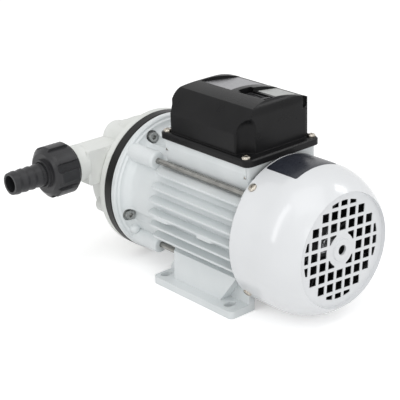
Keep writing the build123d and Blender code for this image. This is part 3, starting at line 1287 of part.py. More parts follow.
def hose_tail(side):
    x0 = tail_flange_x()
    x1 = x0 + TAIL_FLANGE_THICKNESS
    points = [(x0, TAIL_BORE_RADIUS), (x0, TAIL_FLANGE_RADIUS), (x1, TAIL_FLANGE_RADIUS), (x1, TAIL_BARB_CREST)]
    start = NUT_NOSE_END_X + 1.5
    pitch = (TAIL_END_X - start) / TAIL_BARBS
    points.append((start, TAIL_BARB_CREST))
    for i in range(TAIL_BARBS):
        x = start + i * pitch
        points.append((x, TAIL_BARB_ROOT + 0.2) if i == 0 else (x, TAIL_BARB_ROOT))
        points.append((x + 1.6, TAIL_BARB_ROOT))
        points.append((x + 1.6, TAIL_BARB_CREST))
        points.append((x + 3.2, TAIL_BARB_CREST))
    points.append((TAIL_END_X, TAIL_BARB_ROOT))
    points.append((TAIL_END_X, TAIL_BORE_RADIUS))
    return turned_x(points, side)


def union_nut(side):
    bore = THREAD_RADIUS + NUT_THREAD_CLEARANCE
    lip_x = tail_flange_x() + TAIL_FLANGE_THICKNESS + 0.1
    lip_r = TAIL_BARB_CREST + NUT_LIP_CLEARANCE
    x0 = NECK_END_X + 0.3
    nut = turned_x([
        (x0, bore), (x0, NUT_RADIUS - 1), (x0 + 1, NUT_RADIUS), (NUT_END_X - 2, NUT_RADIUS),
        (NUT_END_X, NUT_RADIUS - 3), (NUT_END_X, NUT_NOSE_RADIUS), (NUT_NOSE_END_X, NUT_NOSE_RADIUS),
        (NUT_NOSE_END_X, lip_r), (lip_x, lip_r), (lip_x, bore),
    ], side)
    half = NUT_RIB_WIDTH / 2
    limit = turned_x([
        (x0 + 3, NUT_RADIUS - 3), (x0 + 3, NUT_RIB_RADIUS - 0.8), (x0 + 4, NUT_RIB_RADIUS),
        (NUT_END_X - 4, NUT_RIB_RADIUS), (NUT_END_X - 1, NUT_RADIUS - 1.5), (NUT_END_X - 1, NUT_RADIUS - 3),
    ], side)
    for i in range(NUT_RIBS):
        rib = block(side * x0, side * NUT_END_X, PORT_Y - half, PORT_Y + half, PORT_Z + bore, PORT_Z + 30)
        rib = rib.rotate(Axis((0, PORT_Y, PORT_Z), (1, 0, 0)), i * 360 / NUT_RIBS)
        nut = nut + (rib & limit)
    return nut


def hose_tail_seals():
    seals = []
    for side in (-1, 1):
        seals.append(turned_x([
            (THREAD_END_X, PORT_BORE_RADIUS + 0.5), (THREAD_END_X, THREAD_RADIUS - 1),
            (tail_flange_x(), THREAD_RADIUS - 1), (tail_flange_x(), PORT_BORE_RADIUS + 0.5),
        ], side))
    return Compound(seals)


# Terminal box

def box_form(inset, bottom):
    """Vaulted body of the cover, its walls moved inwards by inset."""
    half_x = BOX_HALF_X - inset
    half_y = BOX_HALF_Y - inset
    crown_z = BOX_CROWN_Z - inset
    spring = (half_x, 0, crown_z - BOX_SPRING_DROP)
    knee = (half_x - BOX_KNEE_INSET, 0, crown_z - BOX_KNEE_DROP)
    shoulder = (half_x - BOX_SHOULDER_INSET, 0, crown_z - BOX_SHOULDER_DROP)
    far = (-half_x, 0, crown_z - BOX_FAR_EDGE_DROP)
    walls = Polyline([far, (-half_x, 0, bottom), (half_x, 0, bottom), spring])
    roof = ThreePointArc(spring, knee, shoulder) + ThreePointArc(shoulder, (BOX_CROWN_X, 0, crown_z), far)
    vault = extrude(make_face(walls + roof), amount=half_y, dir=(0, 1, 0), both=True)
    side_view = block(-half_x - 1, half_x + 1, -half_y, half_y, bottom, crown_z + 0.5)
    rounded_edges = side_view.edges().filter_by(Axis.X).group_by(Axis.Z)[-1]
    return vault & fillet(rounded_edges, BOX_END_RADIUS - inset)


def screw_places():
    for sx in (-1, 1):
        for sy in (-1, 1):
            yield sx * BOX_SCREW_X, sy * BOX_SCREW_Y


def screw_scoops(grow):
    """Room for the four screws: a tall domed flute at the near rear corner, slim ones elsewhere."""
    top = BOX_CROWN_Z - BOX_FLUTE_DROP
    radius = BOX_FLUTE_RADIUS + grow
    scoops = []
    for x, y in screw_places():
        if x > 0 and y > 0:
            scoops.append(along_z(radius, BOX_FLANGE_TOP - 1, top - BOX_FLUTE_RADIUS, x, y))
            scoops.append(Pos(x, y, top - BOX_FLUTE_RADIUS) * Sphere(radius))
        else:
            scoops.append(along_z(BOX_SCREW_CLEARANCE + grow, BOX_FLANGE_TOP - 1, BOX_CROWN_Z, x, y))
    return scoops


def box_slopes(grow):
    """Sloping cuts in the roof, from a small step beside the crown down to the far edge."""
    near_x = BOX_SLOPE_NEAR_X + grow
    section = [
        (near_x, BOX_CROWN_Z - BOX_SLOPE_NEAR_DROP - grow),
        (near_x, BOX_CROWN_Z + 1),
        (-BOX_HALF_X - 1, BOX_CROWN_Z + 1),
        (-BOX_HALF_X - 1, BOX_CROWN_Z - BOX_SLOPE_FAR_DROP - grow),
    ]
    return [prism_y(section, y0 - grow, y1 + grow) for y0, y1 in (BOX_SLOPE_FRONT, BOX_SLOPE_REAR)]


def switch_pocket(grow):
    half_x = SWITCH_WIDTH / 2 + BOX_POCKET_MARGIN + grow
    half_y = SWITCH_LENGTH / 2 + BOX_POCKET_MARGIN + grow
    return block(
        SWITCH_X - half_x, SWITCH_X + half_x, SWITCH_Y - half_y, SWITCH_Y + half_y,
        BOX_POCKET_FLOOR_Z - grow, BOX_CROWN_Z + 1,
    )


def corner_notch(grow):
    """Notch in the rear end of the roof beside the far wall."""
    inner = -BOX_HALF_X + BOX_NOTCH_X + grow
    return block(
        -BOX_HALF_X + BOX_NOTCH_LIP - grow, inner, BOX_HALF_Y - BOX_NOTCH_DEPTH - grow, BOX_HALF_Y + 1,
        BOX_CROWN_Z - BOX_NOTCH_DROP - grow, BOX_CROWN_Z + 1,
    )


def terminal_box_cover():
    flange = rounded_slab(BOX_FLANGE_HALF_X, BOX_FLANGE_HALF_Y, BOX_FLANGE_CORNER, BOX_FLANGE_BOTTOM, BOX_FLANGE_TOP)
    flange = chamfer(flange.faces().sort_by(Axis.Z)[-1].edges(), BOX_FLANGE_EDGE)
    body = box_form(0.0, BOX_FLANGE_TOP - 1) - screw_scoops(0.0)
    ridges = body.edges().filter_by(Axis.Z).filter_by(lambda edge: edge.center().X > 0 and edge.center().Y > 0)
    body = fillet(ridges, BOX_FLUTE_EDGE)
    body = body - box_slopes(0.0) - switch_pocket(0.0) - corner_notch(0.0)
    hollow = box_form(BOX_WALL, BOX_FLANGE_BOTTOM - 1) - screw_scoops(BOX_WALL)
    for x, y in screw_places():
        hollow = hollow - along_z(BOX_SCREW_CLEARANCE + BOX_WALL, BOX_FLANGE_BOTTOM - 2, BOX_FLANGE_TOP, x, y)
    hollow = hollow - box_slopes(BOX_WALL) - switch_pocket(BOX_WALL) - corner_notch(BOX_WALL)
    cover = flange + body - hollow
    cut_x = SWITCH_WIDTH / 2 - SWITCH_BEZEL + RECESS_CLEARANCE
    cut_y = SWITCH_LENGTH / 2 - SWITCH_BEZEL + RECESS_CLEARANCE
    cover = cover - block(
        SWITCH_X - cut_x, SWITCH_X + cut_x, SWITCH_Y - cut_y, SWITCH_Y + cut_y,
        BOX_POCKET_FLOOR_Z - BOX_WALL - 1, BOX_CROWN_Z,
    )
    cover = cover - along_x(GLAND_THREAD_RADIUS + 0.2, -BOX_HALF_X - 1, -BOX_HALF_X + BOX_WALL + 1, GLAND_Y, GLAND_Z)
    for x, y in screw_places():
        cover = cover - along_z(BOX_SCREW_RADIUS + 0.3, BOX_FLANGE_BOTTOM - 1, BOX_FLANGE_TOP + 1, x, y)
    return cover


def box_gasket():
    gasket = rounded_slab(
        BOX_FLANGE_HALF_X - PEDESTAL_INSET, PEDESTAL_HALF_LENGTH, PEDESTAL_CORNER, PEDESTAL_TOP, BOX_FLANGE_BOTTOM
    )
    gasket = gasket - pedestal_hollow(PEDESTAL_TOP - 1, BOX_FLANGE_BOTTOM + 1)
    for x, y in screw_places():
        gasket = gasket - along_z(BOX_SCREW_RADIUS + 0.3, PEDESTAL_TOP - 1, BOX_FLANGE_BOTTOM + 1, x, y)
    return gasket


def box_screws():
    screws = []
    for x, y in screw_places():
        head = along_z(BOX_SCREW_HEAD_RADIUS, BOX_FLANGE_TOP, BOX_FLANGE_TOP + BOX_SCREW_HEAD_HEIGHT, x, y)
        head = chamfer(head.edges().group_by(Axis.Z)[-1], SCREW_HEAD_CHAMFER)
        shank = along_z(BOX_SCREW_RADIUS, BOX_FLANGE_TOP - BOX_SCREW_LENGTH, BOX_FLANGE_TOP + 0.5, x, y)
        screws.append(head + shank)
    return Compound(screws)


def switch_housing():
    floor = BOX_POCKET_FLOOR_Z
    body_bottom = floor - SWITCH_BODY_DEPTH
    bezel = block(
        SWITCH_X - SWITCH_WIDTH / 2, SWITCH_X + SWITCH_WIDTH / 2, SWITCH_Y - SWITCH_LENGTH / 2,
        SWITCH_Y + SWITCH_LENGTH / 2, floor, floor + SWITCH_BEZEL,
    )
    half_x = SWITCH_WIDTH / 2 - SWITCH_BEZEL
    half_y = SWITCH_LENGTH / 2 - SWITCH_BEZEL
    body = block(
        SWITCH_X - half_x, SWITCH_X + half_x, SWITCH_Y - half_y, SWITCH_Y + half_y, body_bottom, floor + 0.5
    )
    well_x = ROCKER_WIDTH / 2 + ROCKER_GAP
    well_y = ROCKER_LENGTH / 2 + ROCKER_GAP
    well = block(
        SWITCH_X - well_x, SWITCH_X + well_x, SWITCH_Y - well_y, SWITCH_Y + well_y,
        floor - SWITCH_WELL_DEPTH, floor + SWITCH_BEZEL + 1,
    )
    housing = bezel + body - well
    for i in (-1, 0, 1):
        y = SWITCH_Y + i * SWITCH_TAB_PITCH
        housing = housing + block(
            SWITCH_X - SWITCH_TAB_WIDTH / 2, SWITCH_X + SWITCH_TAB_WIDTH / 2,
            y - SWITCH_TAB_THICKNESS / 2, y + SWITCH_TAB_THICKNESS / 2, body_bottom - SWITCH_TAB_LENGTH, body_bottom,
        )
    pin = along_x(ROCKER_PIN_RADIUS, SWITCH_X - well_x - 0.2, SWITCH_X + well_x + 0.2, SWITCH_Y, rocker_pivot_z())
    return housing + pin


def rocker_pivot_z():
    return BOX_POCKET_FLOOR_Z - ROCKER_PIN_DROP


def switch_rocker():
    z = rocker_pivot_z()
    half = ROCKER_LENGTH / 2
    top = BOX_POCKET_FLOOR_Z + ROCKER_RISE
    outline = [
        (SWITCH_Y - half + 0.6, z - 1.6),
        (SWITCH_Y - half + 0.5, top),
        (SWITCH_Y, top - ROCKER_DISH),
        (SWITCH_Y + half - 0.5, top),
        (SWITCH_Y + half - 0.6, z - 1.6),
        (SWITCH_Y + 4, z - 2.2),
        (SWITCH_Y - 4, z - 2.2),
    ]
    rocker = prism_x(outline, SWITCH_X - ROCKER_WIDTH / 2, SWITCH_X + ROCKER_WIDTH / 2)
    rocker = rocker.rotate(Axis((0, SWITCH_Y, z), (1, 0, 0)), ROCKER_ANGLE)
    pin_hole = along_x(
        ROCKER_PIN_RADIUS + BEARING_GAP, SWITCH_X - ROCKER_WIDTH, SWITCH_X + ROCKER_WIDTH, SWITCH_Y, z
    )
    return rocker - pin_hole


def along_y_at(radius, length, x, z):
    """Cylinder parallel to the shaft, centred on y 0, at an absolute x and z."""
    return Pos(x, 0, z) * Rot(90, 0, 0) * Cylinder(radius, length)


def capacitor():
    return along_y_at(CAPACITOR_RADIUS, CAPACITOR_LENGTH, CAPACITOR_X, CAPACITOR_Z)


def capacitor_clip():
    outer = along_y_at(CAPACITOR_RADIUS + CLIP_WALL, CLIP_WIDTH, CAPACITOR_X, CAPACITOR_Z)
    band = outer - along_y_at(CAPACITOR_RADIUS + SEAT_FIT, CLIP_WIDTH + 1, CAPACITOR_X, CAPACITOR_Z)
    half = CLIP_WIDTH / 2
    floor = PEDESTAL_FLOOR_Z
    foot_plate = block(
        CAPACITOR_X - CLIP_FOOT_HALF_WIDTH, CAPACITOR_X + CLIP_FOOT_HALF_WIDTH, -half, half,
        floor, floor + CLIP_FOOT_THICKNESS,
    )
    stem = block(
        CAPACITOR_X - 1, CAPACITOR_X + 1, -half, half, floor, CAPACITOR_Z - CAPACITOR_RADIUS - CLIP_WALL / 2
    )
    return band + foot_plate + stem


def terminal_block():
    top = PEDESTAL_FLOOR_Z + TERMINAL_HEIGHT
    half = TERMINAL_LENGTH / 2
    body = block(
        TERMINAL_X - TERMINAL_HALF_WIDTH, TERMINAL_X + TERMINAL_HALF_WIDTH, TERMINAL_Y - half, TERMINAL_Y + half,
        PEDESTAL_FLOOR_Z, top,
    )
    for i in range(TERMINAL_POLES):
        y = TERMINAL_Y + (i - (TERMINAL_POLES - 1) / 2) * TERMINAL_PITCH
        body = body - along_z(TERMINAL_HOLE_RADIUS, top - TERMINAL_HOLE_DEPTH, top + 1, TERMINAL_X, y)
    return body


def earth_screw():
    top = PEDESTAL_FLOOR_Z + EARTH_SCREW_HEIGHT
    return along_z(EARTH_SCREW_RADIUS, PEDESTAL_FLOOR_Z, top, TERMINAL_X, EARTH_SCREW_Y)


def gland_hexagon(x, radius, thickness):
    face = Pos(x, GLAND_Y, GLAND_Z) * Rot(0, 90, 0) * RegularPolygon(radius, 6, rotation=30)
    return extrude(face, amount=thickness, dir=(1, 0, 0))


def cable_gland():
    wall = -BOX_HALF_X
    flange_x = wall - GLAND_FLANGE_THICKNESS
    thread_end = wall + BOX_WALL + GLAND_THREAD_LENGTH
    gland = along_x(GLAND_THREAD_RADIUS, thread_end, wall - GLAND_FLANGE_THICKNESS / 2, GLAND_Y, GLAND_Z)
    gland = gland + gland_hexagon(flange_x, GLAND_FLANGE_RADIUS, GLAND_FLANGE_THICKNESS)
    cap = along_x(GLAND_CAP_RADIUS, flange_x, flange_x - GLAND_CAP_LENGTH, GLAND_Y, GLAND_Z)
    gland = gland + fillet(cap.edges().group_by(Axis.X)[0], GLAND_CAP_EDGE)
    return gland - along_x(GLAND_BORE_RADIUS, flange_x - GLAND_CAP_LENGTH - 1, thread_end + 1, GLAND_Y, GLAND_Z)


def gland_nut():
    wall = -BOX_HALF_X + BOX_WALL
    nut = gland_hexagon(wall, GLAND_FLANGE_RADIUS - 1, GLAND_NUT_THICKNESS)
    return nut - along_x(
        GLAND_THREAD_RADIUS + TAPPED_FIT, wall - 1, wall + GLAND_NUT_THICKNESS + 1, GLAND_Y, GLAND_Z
    )


def build_all():
    shaft_gap = shaft_gap_radius()
    wobble_gap = wobble_gap_radius()
    wobble_y = wobble_bearing_y()
    bearing = BEARING_OUTER_RADIUS
    return {
        "stator_housing": stator_housing(),
        "stator_core": stator_core(),
        "stator_windings": stator_windings(),
        "front_flange": front_flange(),
        "rear_end_shield": rear_end_shield(),
        "tie_bolts": tie_bolts(),
        "fan_cover": fan_cover(),
        "fan_cover_screws": fan_cover_screws(),
        "cooling_fan": cooling_fan(),
        "fan_retaining_ring": fan_retaining_ring(),
        "motor_shaft": motor_shaft(),
        "rotor_core": rotor_core(),
        "front_bearing_outer": bearing_outer(bearing, shaft_gap, FRONT_BEARING_Y, BEARING_WIDTH),
        "front_bearing_inner": bearing_inner(SHAFT_RADIUS + SEAT_FIT, shaft_gap, FRONT_BEARING_Y, BEARING_WIDTH),
        "rear_bearing_outer": bearing_outer(bearing, shaft_gap, REAR_BEARING_Y, BEARING_WIDTH),
        "rear_bearing_inner": bearing_inner(SHAFT_RADIUS + SEAT_FIT, shaft_gap, REAR_BEARING_Y, BEARING_WIDTH),
        "wave_washer": wave_washer(),
        "wobble_hub": wobble_hub(),
        "hub_set_screw": hub_set_screw(),
        "wobble_bearing_inner": tilt(bearing_inner(HUB_RADIUS + SEAT_FIT, wobble_gap, wobble_y, WOBBLE_BEARING_WIDTH)),
        "wobble_bearing_outer": tilt(
            bearing_outer(WOBBLE_BEARING_OUTER_RADIUS, wobble_gap, wobble_y, WOBBLE_BEARING_WIDTH)
        ),
        "wobble_plate": wobble_plate(),
        "piston_discs": piston_discs(),
        "piston_screws": piston_screws(),
        "diaphragm_ring": diaphragm_ring(),
        "diaphragm": diaphragm(),
        "valve_plate": valve_plate(),
        "inlet_valves": umbrella_valves(INLET_VALVE_RADIUS_POS, CHAMBER_FLOOR_Y, 1),
        "outlet_valves": umbrella_valves(OUTLET_VALVE_RADIUS_POS, VALVE_PLATE_FRONT_Y, -1),
        "head_gasket": head_gasket(),
        "pump_head": pump_head(),
        "head_bolts": head_bolts(),
        "head_washers": head_washers(),
        "bypass_poppet": bypass_poppet(),
        "bypass_spring": bypass_spring(),
        "bypass_cap": bypass_cap(),
        "bypass_cap_seal": bypass_cap_seal(),
        "outlet_hose_tail": hose_tail(1),
        "inlet_hose_tail": hose_tail(-1),
        "outlet_union_nut": union_nut(1),
        "inlet_union_nut": union_nut(-1),
        "hose_tail_seals": hose_tail_seals(),
        "terminal_box_cover": terminal_box_cover(),
        "box_gasket": box_gasket(),
        "box_screws": box_screws(),
        "switch_housing": switch_housing(),
        "switch_rocker": switch_rocker(),
        "capacitor": capacitor(),
        "capacitor_clip": capacitor_clip(),
        "terminal_block": terminal_block(),
        "earth_screw": earth_screw(),
        "cable_gland": cable_gland(),
        "gland_nut": gland_nut(),
    }


os.makedirs("parts", exist_ok=True)
for node, shape in build_all().items():
    export_step(shape, os.path.join("parts", node + ".step"))
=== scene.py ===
import math

import bmesh
import bpy
from mathutils import Matrix, Vector


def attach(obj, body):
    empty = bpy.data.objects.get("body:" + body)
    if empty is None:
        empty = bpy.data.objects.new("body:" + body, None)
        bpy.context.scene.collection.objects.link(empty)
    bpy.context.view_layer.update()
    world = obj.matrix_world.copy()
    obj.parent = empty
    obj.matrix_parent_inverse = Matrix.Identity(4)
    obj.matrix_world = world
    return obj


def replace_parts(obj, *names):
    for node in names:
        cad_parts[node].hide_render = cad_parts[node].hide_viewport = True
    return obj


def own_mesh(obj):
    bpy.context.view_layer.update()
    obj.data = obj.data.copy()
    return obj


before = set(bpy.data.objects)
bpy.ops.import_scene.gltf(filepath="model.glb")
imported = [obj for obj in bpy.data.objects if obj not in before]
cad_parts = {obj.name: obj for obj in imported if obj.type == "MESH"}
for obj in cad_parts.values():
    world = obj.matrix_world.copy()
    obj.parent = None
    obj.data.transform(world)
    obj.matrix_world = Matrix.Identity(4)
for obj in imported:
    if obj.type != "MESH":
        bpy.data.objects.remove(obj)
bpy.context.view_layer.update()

MM = 0.001

# Camera, in millimetres and degrees, in the part's frame
CAMERA_PLACE = (667.9, 727.6, 478.0)
CAMERA_AZIMUTH = 49.39
CAMERA_ELEVATION = 22.32
CAMERA_ROLL = -1.90
CAMERA_LENS = 115.0
CAMERA_SENSOR = 36.0

# Stations of the part that the dressing pieces sit on, in millimetres
SHAFT_HEIGHT = 63.0
COVER_RADIUS = 62.2
COVER_SHOULDER_Y = 82.0
COVER_SHOULDER_RADIUS = 52.0
COVER_SHEET = 1.2
COVER_GRILLE_Y = 114.8
COVER_SCREW_Y = 58.5
COVER_SCREW_ANGLES = [49.7 + 90.0 * i for i in range(4)]
BOX_FLANGE_TOP = 130.5
BOX_SCREW_X = 36.2
BOX_SCREW_Y = 47.2
BOX_SLOPE_TOP_X = 7.5
BOX_SLOPE_TOP_Z = 168.4
BOX_SLOPE_FALL = 5.6 / 45.0

# Blank films: their thickness, how far they stand off, and the grid they are made of
FILM_LIFT = 0.02
FILM_THICKNESS = 0.13
FILM_STEPS = (40, 24)

# Each film's half sizes and corner radius, and the place of its middle, in millimetres
COVER_PANEL = (23.2, 16.4, 1.5)
COVER_PANEL_Y = 71.8
FRONT_PLATE = (19.6, 17.0, 1.5)
FRONT_PLATE_MIDDLE = (-13.8, -18.8)
REAR_PLATE = (10.6, 11.2, 1.0)
REAR_PLATE_MIDDLE = (-23.0, 20.8)

# Cross-recess screws: head radius and height, shank radius and length, all in millimetres
BOX_SCREW_SIZES = (3.5, 2.5, 2.0, 16.0)
COVER_SCREW_SIZES = (3.6, 2.1, 1.9, 4.1)
COVER_SCREW_SINK = 0.1
SCREW_TURNS = [20.0, 65.0, 40.0, 5.0]
COVER_SCREW_TURN = 25.0
PAN_RINGS = 7
PAN_SEGMENTS = 40
PAN_RIM = 0.35
CROSS_SLOT = 0.75
CROSS_REACH = 0.58
CROSS_DEPTH = 0.62
CROSS_OVERRUN = 1.0
CROSS_TAPER_REACH = 0.55
CROSS_TAPER_SLOT = 0.8


def srgb(red, green, blue):
    """Linear colour of an 8-bit screen colour."""
    def lin(value):
        share = value / 255
        return share / 12.92 if share <= 0.04045 else ((share + 0.055) / 1.055) ** 2.4
    return (lin(red), lin(green), lin(blue), 1.0)


class Shade:
    """One material and short calls for its nodes; sizes of patterns are in millimetres."""

    def __init__(self, name, roughness=0.5, metallic=0.0, specular=0.5, coat=0.0, coat_roughness=0.1):
        self.material = bpy.data.materials.new(name)
        self.material.use_nodes = True
        self.nodes = self.material.node_tree.nodes
        self.links = self.material.node_tree.links
        self.shader = self.nodes["Principled BSDF"]
        self.shader.inputs["Roughness"].default_value = roughness
        self.shader.inputs["Metallic"].default_value = metallic
        self.shader.inputs["Specular IOR Level"].default_value = specular
        self.shader.inputs["Coat Weight"].default_value = coat
        self.shader.inputs["Coat Roughness"].default_value = coat_roughness
        self.place = self.nodes.new("ShaderNodeTexCoord").outputs["Object"]

    def noise(self, size, detail=3.0, roughness=0.5, stretch=(1, 1, 1)):
        """Cloudy pattern whose blobs are about that size."""
        mapping = self.nodes.new("ShaderNodeMapping")
        mapping.inputs["Scale"].default_value = stretch
        self.links.new(self.place, mapping.inputs["Vector"])
        node = self.nodes.new("ShaderNodeTexNoise")
        node.inputs["Scale"].default_value = 1 / (size * MM)
        node.inputs["Detail"].default_value = detail
        node.inputs["Roughness"].default_value = roughness
        self.links.new(mapping.outputs["Vector"], node.inputs["Vector"])
        return node.outputs["Fac"]

    def ramp(self, value, low, high):
        """Maps 0.35 to 0.65 of a pattern onto a range of numbers."""
        node = self.nodes.new("ShaderNodeMapRange")
        node.inputs["From Min"].default_value = 0.35
        node.inputs["From Max"].default_value = 0.65
        node.inputs["To Min"].default_value = low
        node.inputs["To Max"].default_value = high
        self.links.new(value, node.inputs["Value"])
        return node.outputs["Result"]

    def mix(self, value, low, high):
        """Colour between two colours, or outputs, by a pattern."""
        node = self.nodes.new("ShaderNodeMix")
        node.data_type = "RGBA"
        colours = [socket for socket in node.inputs if socket.type == "RGBA"]
        for socket, end in zip(colours, (low, high)):
            if isinstance(end, bpy.types.NodeSocket):
                self.links.new(end, socket)
            else:
                socket.default_value = end
        self.links.new(value, node.inputs["Factor"])
        return next(socket for socket in node.outputs if socket.type == "RGBA")

    def paint(self, output):
        self.links.new(output, self.shader.inputs["Base Color"])

    def colour(self, value, low, high):
        """Base colour between two colours by a pattern."""
        self.paint(self.mix(value, low, high))

    def math(self, operation, first, second):
        """Result of one sum on outputs or numbers."""
        node = self.nodes.new("ShaderNodeMath")
        node.operation = operation
        for socket, term in zip(node.inputs, (first, second)):
            if isinstance(term, bpy.types.NodeSocket):
                self.links.new(term, socket)
            else:
                socket.default_value = term
        return node.outputs[0]

    def painted_shade_inside_cover(self):
        """1 on the inner faces of the fan cover, 0 outside: nearer the shaft than the middle of its sheet.
        This is the mask of the painted shade inside the cover.
        """
        split = self.nodes.new("ShaderNodeSeparateXYZ")
        self.links.new(self.place, split.inputs[0])
        height = self.math("SUBTRACT", split.outputs["Z"], SHAFT_HEIGHT * MM)
        across = self.math("POWER", split.outputs["X"], 2.0)
        reach = self.math("SQRT", self.math("ADD", across, self.math("POWER", height, 2.0)), 0.0)
        past = self.math("MAXIMUM", self.math("SUBTRACT", split.outputs["Y"], COVER_SHOULDER_Y * MM), 0.0)
        drop = self.math("POWER", past, 2.0)
        arc = self.math("SQRT", self.math("SUBTRACT", (COVER_SHOULDER_RADIUS * MM) ** 2, drop), 0.0)
        sheet = self.math("ADD", arc, (COVER_RADIUS - COVER_SHOULDER_RADIUS - COVER_SHEET / 2) * MM)
        nearer = self.math("LESS_THAN", reach, sheet)
        before = self.math("LESS_THAN", split.outputs["Y"], (COVER_GRILLE_Y - COVER_SHEET / 2) * MM)
        return self.math("MULTIPLY", nearer, before)

    def rough(self, value, low, high):
        self.links.new(self.ramp(value, low, high), self.shader.inputs["Roughness"])

    def relief(self, heights, edge=0.0):
        """Bumps of (pattern, depth in millimetres), over edges rounded by that radius."""
        normal = None
        if edge:
            bevel = self.nodes.new("ShaderNodeBevel")
            bevel.samples = 6
            bevel.inputs["Radius"].default_value = edge * MM
            normal = bevel.outputs["Normal"]
        for pattern, depth in heights:
            bump = self.nodes.new("ShaderNodeBump")
            bump.inputs["Strength"].default_value = 1.0
            bump.inputs["Distance"].default_value = depth * MM
            self.links.new(pattern, bump.inputs["Height"])
            if normal:
                self.links.new(normal, bump.inputs["Normal"])
            normal = bump.outputs["Normal"]
        self.links.new(normal, self.shader.inputs["Normal"])


def cast_paint():
    """Satin white powder coat over cast aluminium."""
    shade = Shade("cast_white_paint", specular=0.45, coat=0.15, coat_roughness=0.25)
    cloud = shade.noise(38.0, 3.0)
    peel = shade.noise(1.6, 2.0)
    casting = shade.noise(6.0, 4.0)
    shade.colour(shade.ramp(cloud, 0, 1), srgb(221, 226, 227), srgb(229, 233, 234))
    shade.rough(casting, 0.36, 0.48)
    shade.relief([(casting, 0.05), (peel, 0.02)], edge=0.7)
    return shade.material


def sheet_paint():
    """Glossy white paint on the drawn steel cover, with painted shade on its inner faces, which are dark grey
    where little light gets in.
    """
    shade = Shade("sheet_white_paint", specular=0.5, coat=0.4, coat_roughness=0.06)
    cloud = shade.noise(55.0, 2.0)
    peel = shade.noise(2.4, 2.0)
    outside = shade.mix(shade.ramp(cloud, 0, 1), srgb(226, 228, 230), srgb(231, 233, 235))
    # Painted shade: the inner faces get dark grey (46, 46, 47) in place of the white, standing in for the
    # shade inside the cover.
    shade.paint(shade.mix(shade.painted_shade_inside_cover(), outside, srgb(46, 46, 47)))
    shade.rough(cloud, 0.2, 0.27)
    shade.relief([(peel, 0.008)], edge=0.5)
    return shade.material


def head_plastic():
    """Moulded off-white plastic of the pump head."""
    shade = Shade("head_white_plastic", specular=0.4)
    cloud = shade.noise(30.0, 3.0)
    grain = shade.noise(0.9, 2.0)
    flow = shade.noise(12.0, 2.0, stretch=(1, 0.35, 1))
    shade.colour(shade.ramp(cloud, 0, 1), srgb(226, 228, 224), srgb(232, 234, 231))
    shade.rough(flow, 0.42, 0.54)
    shade.relief([(flow, 0.04), (grain, 0.02)], edge=0.9)
    return shade.material


def box_plastic():
    """Fine-grained black plastic of the terminal box."""
    shade = Shade("box_black_plastic", specular=0.15)
    cloud = shade.noise(26.0, 3.0)
    grain = shade.noise(0.55, 2.0, roughness=0.7)
    shade.colour(shade.ramp(cloud, 0, 1), srgb(22, 22, 23), srgb(27, 27, 28))
    shade.rough(cloud, 0.27, 0.34)
    shade.relief([(grain, 0.03)], edge=1.0)
    return shade.material


def fitting_plastic():
    """Black plastic of the union nut and hose tail."""
    shade = Shade("fitting_black_plastic", specular=0.34)
    cloud = shade.noise(14.0, 3.0)
    grain = shade.noise(0.7, 2.0)
    shade.colour(shade.ramp(cloud, 0, 1), srgb(42, 42, 44), srgb(50, 50, 52))
    shade.rough(cloud, 0.3, 0.4)
    shade.relief([(grain, 0.03)], edge=0.6)
    return shade.material


def ring_plastic():
    """Black plastic ring between flange and head."""
    shade = Shade("ring_black_plastic", specular=0.2)
    cloud = shade.noise(20.0, 3.0)
    streak = shade.noise(1.2, 2.0, stretch=(0.2, 3.0, 0.2))
    shade.colour(shade.ramp(cloud, 0, 1), srgb(28, 28, 28), srgb(34, 34, 33))
    shade.rough(cloud, 0.36, 0.46)
    shade.relief([(streak, 0.015)], edge=0.5)
    return shade.material


def rubber():
    shade = Shade("black_rubber", specular=0.25)
    cloud = shade.noise(8.0, 3.0)
    shade.colour(shade.ramp(cloud, 0, 1), srgb(30, 30, 30), srgb(38, 38, 37))
    shade.rough(cloud, 0.65, 0.8)
    shade.relief([(shade.noise(0.5, 2.0), 0.02)])
    return shade.material


def grey_plastic():
    shade = Shade("grey_plastic", specular=0.4)
    cloud = shade.noise(10.0, 3.0)
    shade.colour(shade.ramp(cloud, 0, 1), srgb(120, 122, 122), srgb(134, 136, 135))
    shade.rough(cloud, 0.45, 0.6)
    shade.relief([(shade.noise(0.8, 2.0), 0.02)])
    return shade.material


def metal(name, low, high, roughness, streak_size=0.5, stretch=(1, 1, 1), edge=0.2, depth=0.01):
    """Metal whose colour and roughness vary along fine streaks."""
    shade = Shade(name, metallic=1.0)
    cloud = shade.noise(7.0, 3.0)
    streak = shade.noise(streak_size, 3.0, stretch=stretch)
    shade.colour(shade.ramp(cloud, 0, 1), low, high)
    shade.rough(streak, roughness * 0.8, roughness * 1.3)
    shade.relief([(streak, depth)], edge=edge)
    return shade.material


def enamelled_copper():
    shade = Shade("enamelled_copper", metallic=0.8, roughness=0.35)
    wires = shade.noise(1.2, 2.0, stretch=(1, 0.15, 1))
    shade.colour(shade.ramp(wires, 0, 1), srgb(120, 62, 30), srgb(170, 92, 48))
    shade.rough(wires, 0.3, 0.45)
    shade.relief([(wires, 0.15)])
    return shade.material


def film(name, low, high, roughness, metallic=0.0):
    """Thin printed or metallised film."""
    shade = Shade(name, metallic=metallic, specular=0.5)
    cloud = shade.noise(5.0, 3.0)
    brush = shade.noise(0.3, 2.0, stretch=(0.05, 1, 1))
    shade.colour(shade.ramp(cloud, 0, 1), low, high)
    shade.rough(brush, roughness * 0.85, roughness * 1.2)
    shade.relief([(brush, 0.004)])
    return shade.material


def coat_nodes(material, *names):
    """Gives CAD nodes a material."""
    for name in names:
        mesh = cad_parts[name].data
        mesh.materials.clear()
        mesh.materials.append(material)


